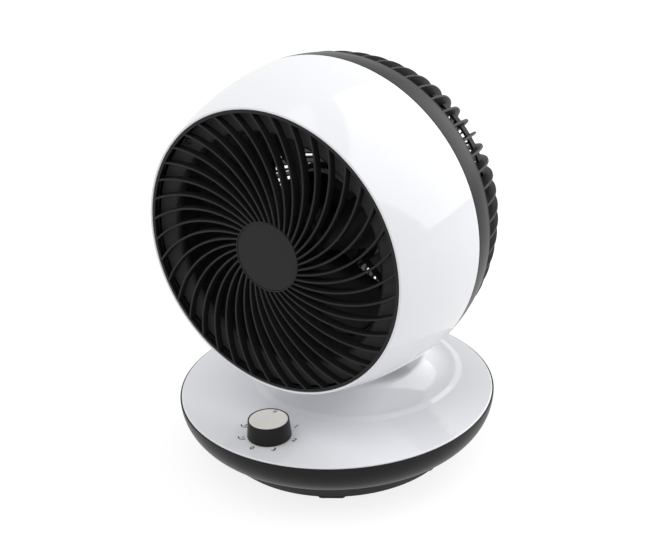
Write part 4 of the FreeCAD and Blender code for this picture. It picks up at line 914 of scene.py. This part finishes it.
# Front shell
# The white gloss drum around the head, gently bowed, with a thin lip at the front.
# It is one moulding, and its inner ledge carries the duct and the front guard.
FACE, LIP_RADIUS, LIP_BORE, DRUM_REAR, DRUM_RADIUS = 79.5, 111.2, 109.6, -5.9, 126.2
DRUM_CURVE, DRUM_WALL, LEDGE_RADIUS, LEDGE_WALL = 267.3, 2.4, 100, 3
ledge_under = LEDGE - LEDGE_WALL
ledge_root = (LIP_RADIUS + 1.3, ledge_under)
drum_outline = bow((LIP_RADIUS, FACE), (DRUM_RADIUS, DRUM_REAR), DRUM_CURVE, 1, 40)
drum_outline += [(DRUM_RADIUS, DRUM_REAR)]
drum_outline += bow((DRUM_RADIUS - DRUM_WALL, DRUM_REAR), ledge_root, DRUM_CURVE - DRUM_WALL, -1, 20)
drum_outline += [
    ledge_root, (LEDGE_RADIUS, ledge_under), (LEDGE_RADIUS, LEDGE), (LIP_BORE, LEDGE), (LIP_BORE, FACE)]
drum = turned("front_shell", HEAD_AXIS, drum_outline, 0.5, 320)
drum.data.materials.append(white_gloss)
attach(drum, "head")
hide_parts("front_shell")

# Front guard
# Forty spiral bars between a rim and a hub ring, one black moulding that snaps into the shell's lip.
# A flat disc is glued into the hub.
BAR_COUNT, BAR_WIDTH, BAR_REAR, BAR_ROUND = 40, 1.6, 73.2, 0.5
GUARD_RIM, RIM_WALL, RIM_FRONT, CROWN = 109.3, 2.3, FACE - 0.3, FACE + 3.0
GUARD_EYE, EYE_WALL, EYE_LIP, EYE_FRONT, EYE_BACK = 27.3, 3, 1, CROWN + 0.3, FACE - 0.5
DISC_LEVEL, DISC_GLUE, DISC_GAP, DISC_DROP = FACE + 2, 0.02, 0.1, 0.1


def on_face(radius, turn):
    """A point (across, up) on the guard's face, a turn in degrees clockwise from the top."""
    return Vector((radius * sin(radians(turn)), radius * cos(radians(turn))))


def circle_through(first, second, third):
    """The centre of the circle through three points."""
    side, far = second - first, third - first
    double = 2 * (side.x * far.y - side.y * far.x)
    across = (far.y * side.length_squared - side.y * far.length_squared) / double
    up = (side.x * far.length_squared - far.x * side.length_squared) / double
    return first + Vector((across, up))


def bar_front(radius):
    """How far forward a bar's front edge stands: the guard is slightly domed."""
    share = (GUARD_RIM - radius) / (GUARD_RIM - GUARD_EYE)
    return RIM_FRONT + (CROWN - RIM_FRONT) * min(1.0, max(0.0, share))


bar_start = on_face(GUARD_EYE - 0.6, 0.8)
bar_middle = on_face(60, -20.5)
bar_stop = on_face(GUARD_RIM - 1.3, -41.5)
bar_centre = circle_through(bar_start, bar_middle, bar_stop)
bar_sweep = (bar_start - bar_centre).angle_signed(bar_stop - bar_centre)
bars = begin("bars", bpy.ops.mesh.primitive_plane_add, size=1)
editing(False)
spoke = (bar_start - bar_centre).normalized()
bar_deep = FACE - BAR_REAR
across, along = Vector((spoke.x, 0, spoke.y)), Vector((-spoke.y, 0, spoke.x))
columns = Matrix((across * BAR_WIDTH * MM, AHEAD * bar_deep * MM, along)).transposed()
middle = Vector((bar_start.x, -(FACE + BAR_REAR) / 2, HEAD_HEIGHT + bar_start.y)) * MM
bars.data.transform(Matrix.Translation(middle) @ columns.to_4x4())
editing(True)
select_all(True)
pivot = Vector((bar_centre.x, 0, HEAD_HEIGHT + bar_centre.y)) * MM
bpy.ops.mesh.spin(steps=30, angle=bar_sweep, center=pivot, axis=AHEAD)
editing(False)
halfway = -(FACE + BAR_REAR) / 2 * MM
for vertex in bars.data.vertices:
    if vertex.co.y < halfway:
        radius = Vector((vertex.co.x, vertex.co.z - HEAD_HEIGHT * MM)).length / MM
        vertex.co.y = -bar_front(radius) * MM
editing(True)


def bar_edge(line):
    """An edge that runs along a bar, rather than across or through it."""
    spots = [bars.data.vertices[v].co for v in line.vertices]
    reaches = [Vector((spot.x - pivot.x, spot.z - pivot.z)).length for spot in spots]
    return abs(reaches[0] - reaches[1]) < 1e-5 and (spots[0].y < halfway) == (spots[1].y < halfway)


pick(bars, "EDGE", bar_edge)
bpy.ops.mesh.bevel(offset=BAR_ROUND * MM, segments=3, affect="EDGES")
select_all(True)
ring_of(BAR_COUNT, *HEAD_AXIS[:2])
complete(bars)
rim = turned("guard_rim", HEAD_AXIS, [
    (GUARD_RIM - RIM_WALL, DUCT_FRONT), (GUARD_RIM, DUCT_FRONT), (GUARD_RIM, RIM_FRONT),
    (GUARD_RIM - RIM_WALL, RIM_FRONT)], 0.6, 256)
well, well_level = GUARD_EYE - EYE_LIP, DISC_LEVEL - DISC_GLUE
eye = turned("guard_eye", HEAD_AXIS, [
    (0, well_level), (well, well_level), (well, EYE_FRONT), (GUARD_EYE, EYE_FRONT), (GUARD_EYE, BAR_REAR),
    (GUARD_EYE - EYE_WALL, BAR_REAR), (GUARD_EYE - EYE_WALL, EYE_BACK), (0, EYE_BACK)], 0.3, 160)
front_guard = united("front_grille", [bars, rim, eye])
front_guard.data.materials.append(charcoal_matt)
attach(front_guard, "head")
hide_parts("front_grille")
disc_edge = well - DISC_GAP
disc = turned("grille_hub_cap", HEAD_AXIS, [
    (0, DISC_LEVEL), (disc_edge, DISC_LEVEL), (disc_edge, CROWN - DISC_DROP), (0, CROWN)], 0.25, 160)
disc.data.materials.append(charcoal_matt)
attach(disc, "head")
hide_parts("grille_hub_cap")

# Floor, world and lamps
# A plain pale floor, white to the camera and in reflections, that keeps the fan's soft shadow.
# Large soft panels light the fan from above and from behind on its right, and the world fills in.
def seen_directly(wire):
    """A wire that is 1 for rays from the camera, from gloss and through glass, and 0 for the rest."""
    paths = wire.tree.nodes.new("ShaderNodeLightPath").outputs
    camera_ray, glossy_ray, glass_ray = [
        Wire(wire.tree, paths[name]) for name in ("Is Camera Ray", "Is Glossy Ray", "Is Transmission Ray")]
    return camera_ray.maths("MAXIMUM", camera_ray.maths("MAXIMUM", camera_ray, glossy_ray), glass_ray)


FLOOR_SIZE, FLOOR_GLOW, GLOW_SHARE = 24, 1.18, 0.7
floor = begin("floor", bpy.ops.mesh.primitive_plane_add, size=FLOOR_SIZE)
editing(False)
paper = bpy.data.materials.new("pale_floor")
paper.use_nodes = True
paper_tree = paper.node_tree
paper_shader = paper_tree.nodes["Principled BSDF"]
paper_shader.inputs["Base Color"].default_value = (0.8, 0.8, 0.8, 1)
paper_shader.inputs["Roughness"].default_value = 0.9
paper_out = paper_tree.nodes["Material Output"]
paper_wire = Wire(paper_tree, paper_shader.outputs[0])
glow = paper_wire.node("ShaderNodeEmission", {}, {"Color": (1, 1, 1, 1), "Strength": FLOOR_GLOW})
direct = seen_directly(paper_wire)
lit_floor = paper_wire.node("ShaderNodeMixShader", {}, {0: GLOW_SHARE * direct, 1: paper_wire, 2: glow})
paper_tree.links.new(lit_floor.socket, paper_out.inputs["Surface"])
floor.data.materials.append(paper)

world = bpy.data.worlds.new("studio")
bpy.context.scene.world = world
world.use_nodes = True
sky = world.node_tree.nodes["Background"]
sky.inputs["Color"].default_value = (1, 1, 1, 1)
AMBIENT = 0.66
(AMBIENT + (1 - AMBIENT) * seen_directly(Wire(world.node_tree, sky.outputs[0]))).into(sky, "Strength")


def panel(name, place, target, wide, tall, radiance):
    """A soft rectangular lamp at a place, turned to face a target."""
    lamp = bpy.data.lights.new(name, "AREA")
    lamp.shape = "RECTANGLE"
    lamp.size = wide
    lamp.size_y = tall
    lamp.energy = radiance * pi * wide * tall
    holder = bpy.data.objects.new(name, lamp)
    bpy.context.scene.collection.objects.link(holder)
    facing = Vector(target) - Vector(place)
    holder.matrix_world = Matrix.Translation(place) @ facing.to_track_quat("-Z", "Y").to_matrix().to_4x4()


panel("rear_right", (0.763, 0.802, 0.865), (0.339, -0.099, 0.19), wide=1.755, tall=1.62, radiance=1.65)
panel("overhead", (-0.2, -0.3, 1.6), (0, 0, 0.15), wide=1.5, tall=1.5, radiance=0.8)
panel("left_front", (-1.3, -1.1, 0.9), (0, 0, 0.15), wide=0.8, tall=1.2, radiance=1.15)

# Camera
# A long lens in front of the fan and to its right, looking down on it, slightly rolled as in the photograph.
PHOTO_WIDE, FOCUS = 650, 1425
aim = Vector((-4.6, -3.2, 145)) * MM
away, azimuth, elevation, roll = 1110.7 * MM, radians(34.88), radians(25.24), radians(-2.48)
ahead = Vector((-sin(azimuth), cos(azimuth), 0))
look = ahead * cos(elevation) - UP * sin(elevation)
level = look.cross(UP).normalized()
rise = level.cross(look)
camera_right = cos(roll) * level + sin(roll) * rise
camera_up = cos(roll) * rise - sin(roll) * level
lens = bpy.data.cameras.new("camera")
lens.sensor_width = 36
lens.lens = lens.sensor_width * FOCUS / PHOTO_WIDE
camera = bpy.data.objects.new("camera", lens)
bpy.context.scene.collection.objects.link(camera)
turn = Matrix((camera_right, camera_up, -look)).transposed().to_4x4()
camera.matrix_world = Matrix.Translation(aim - look * away) @ turn
bpy.context.scene.camera = camera
bpy.context.scene.view_settings.view_transform = "Standard"
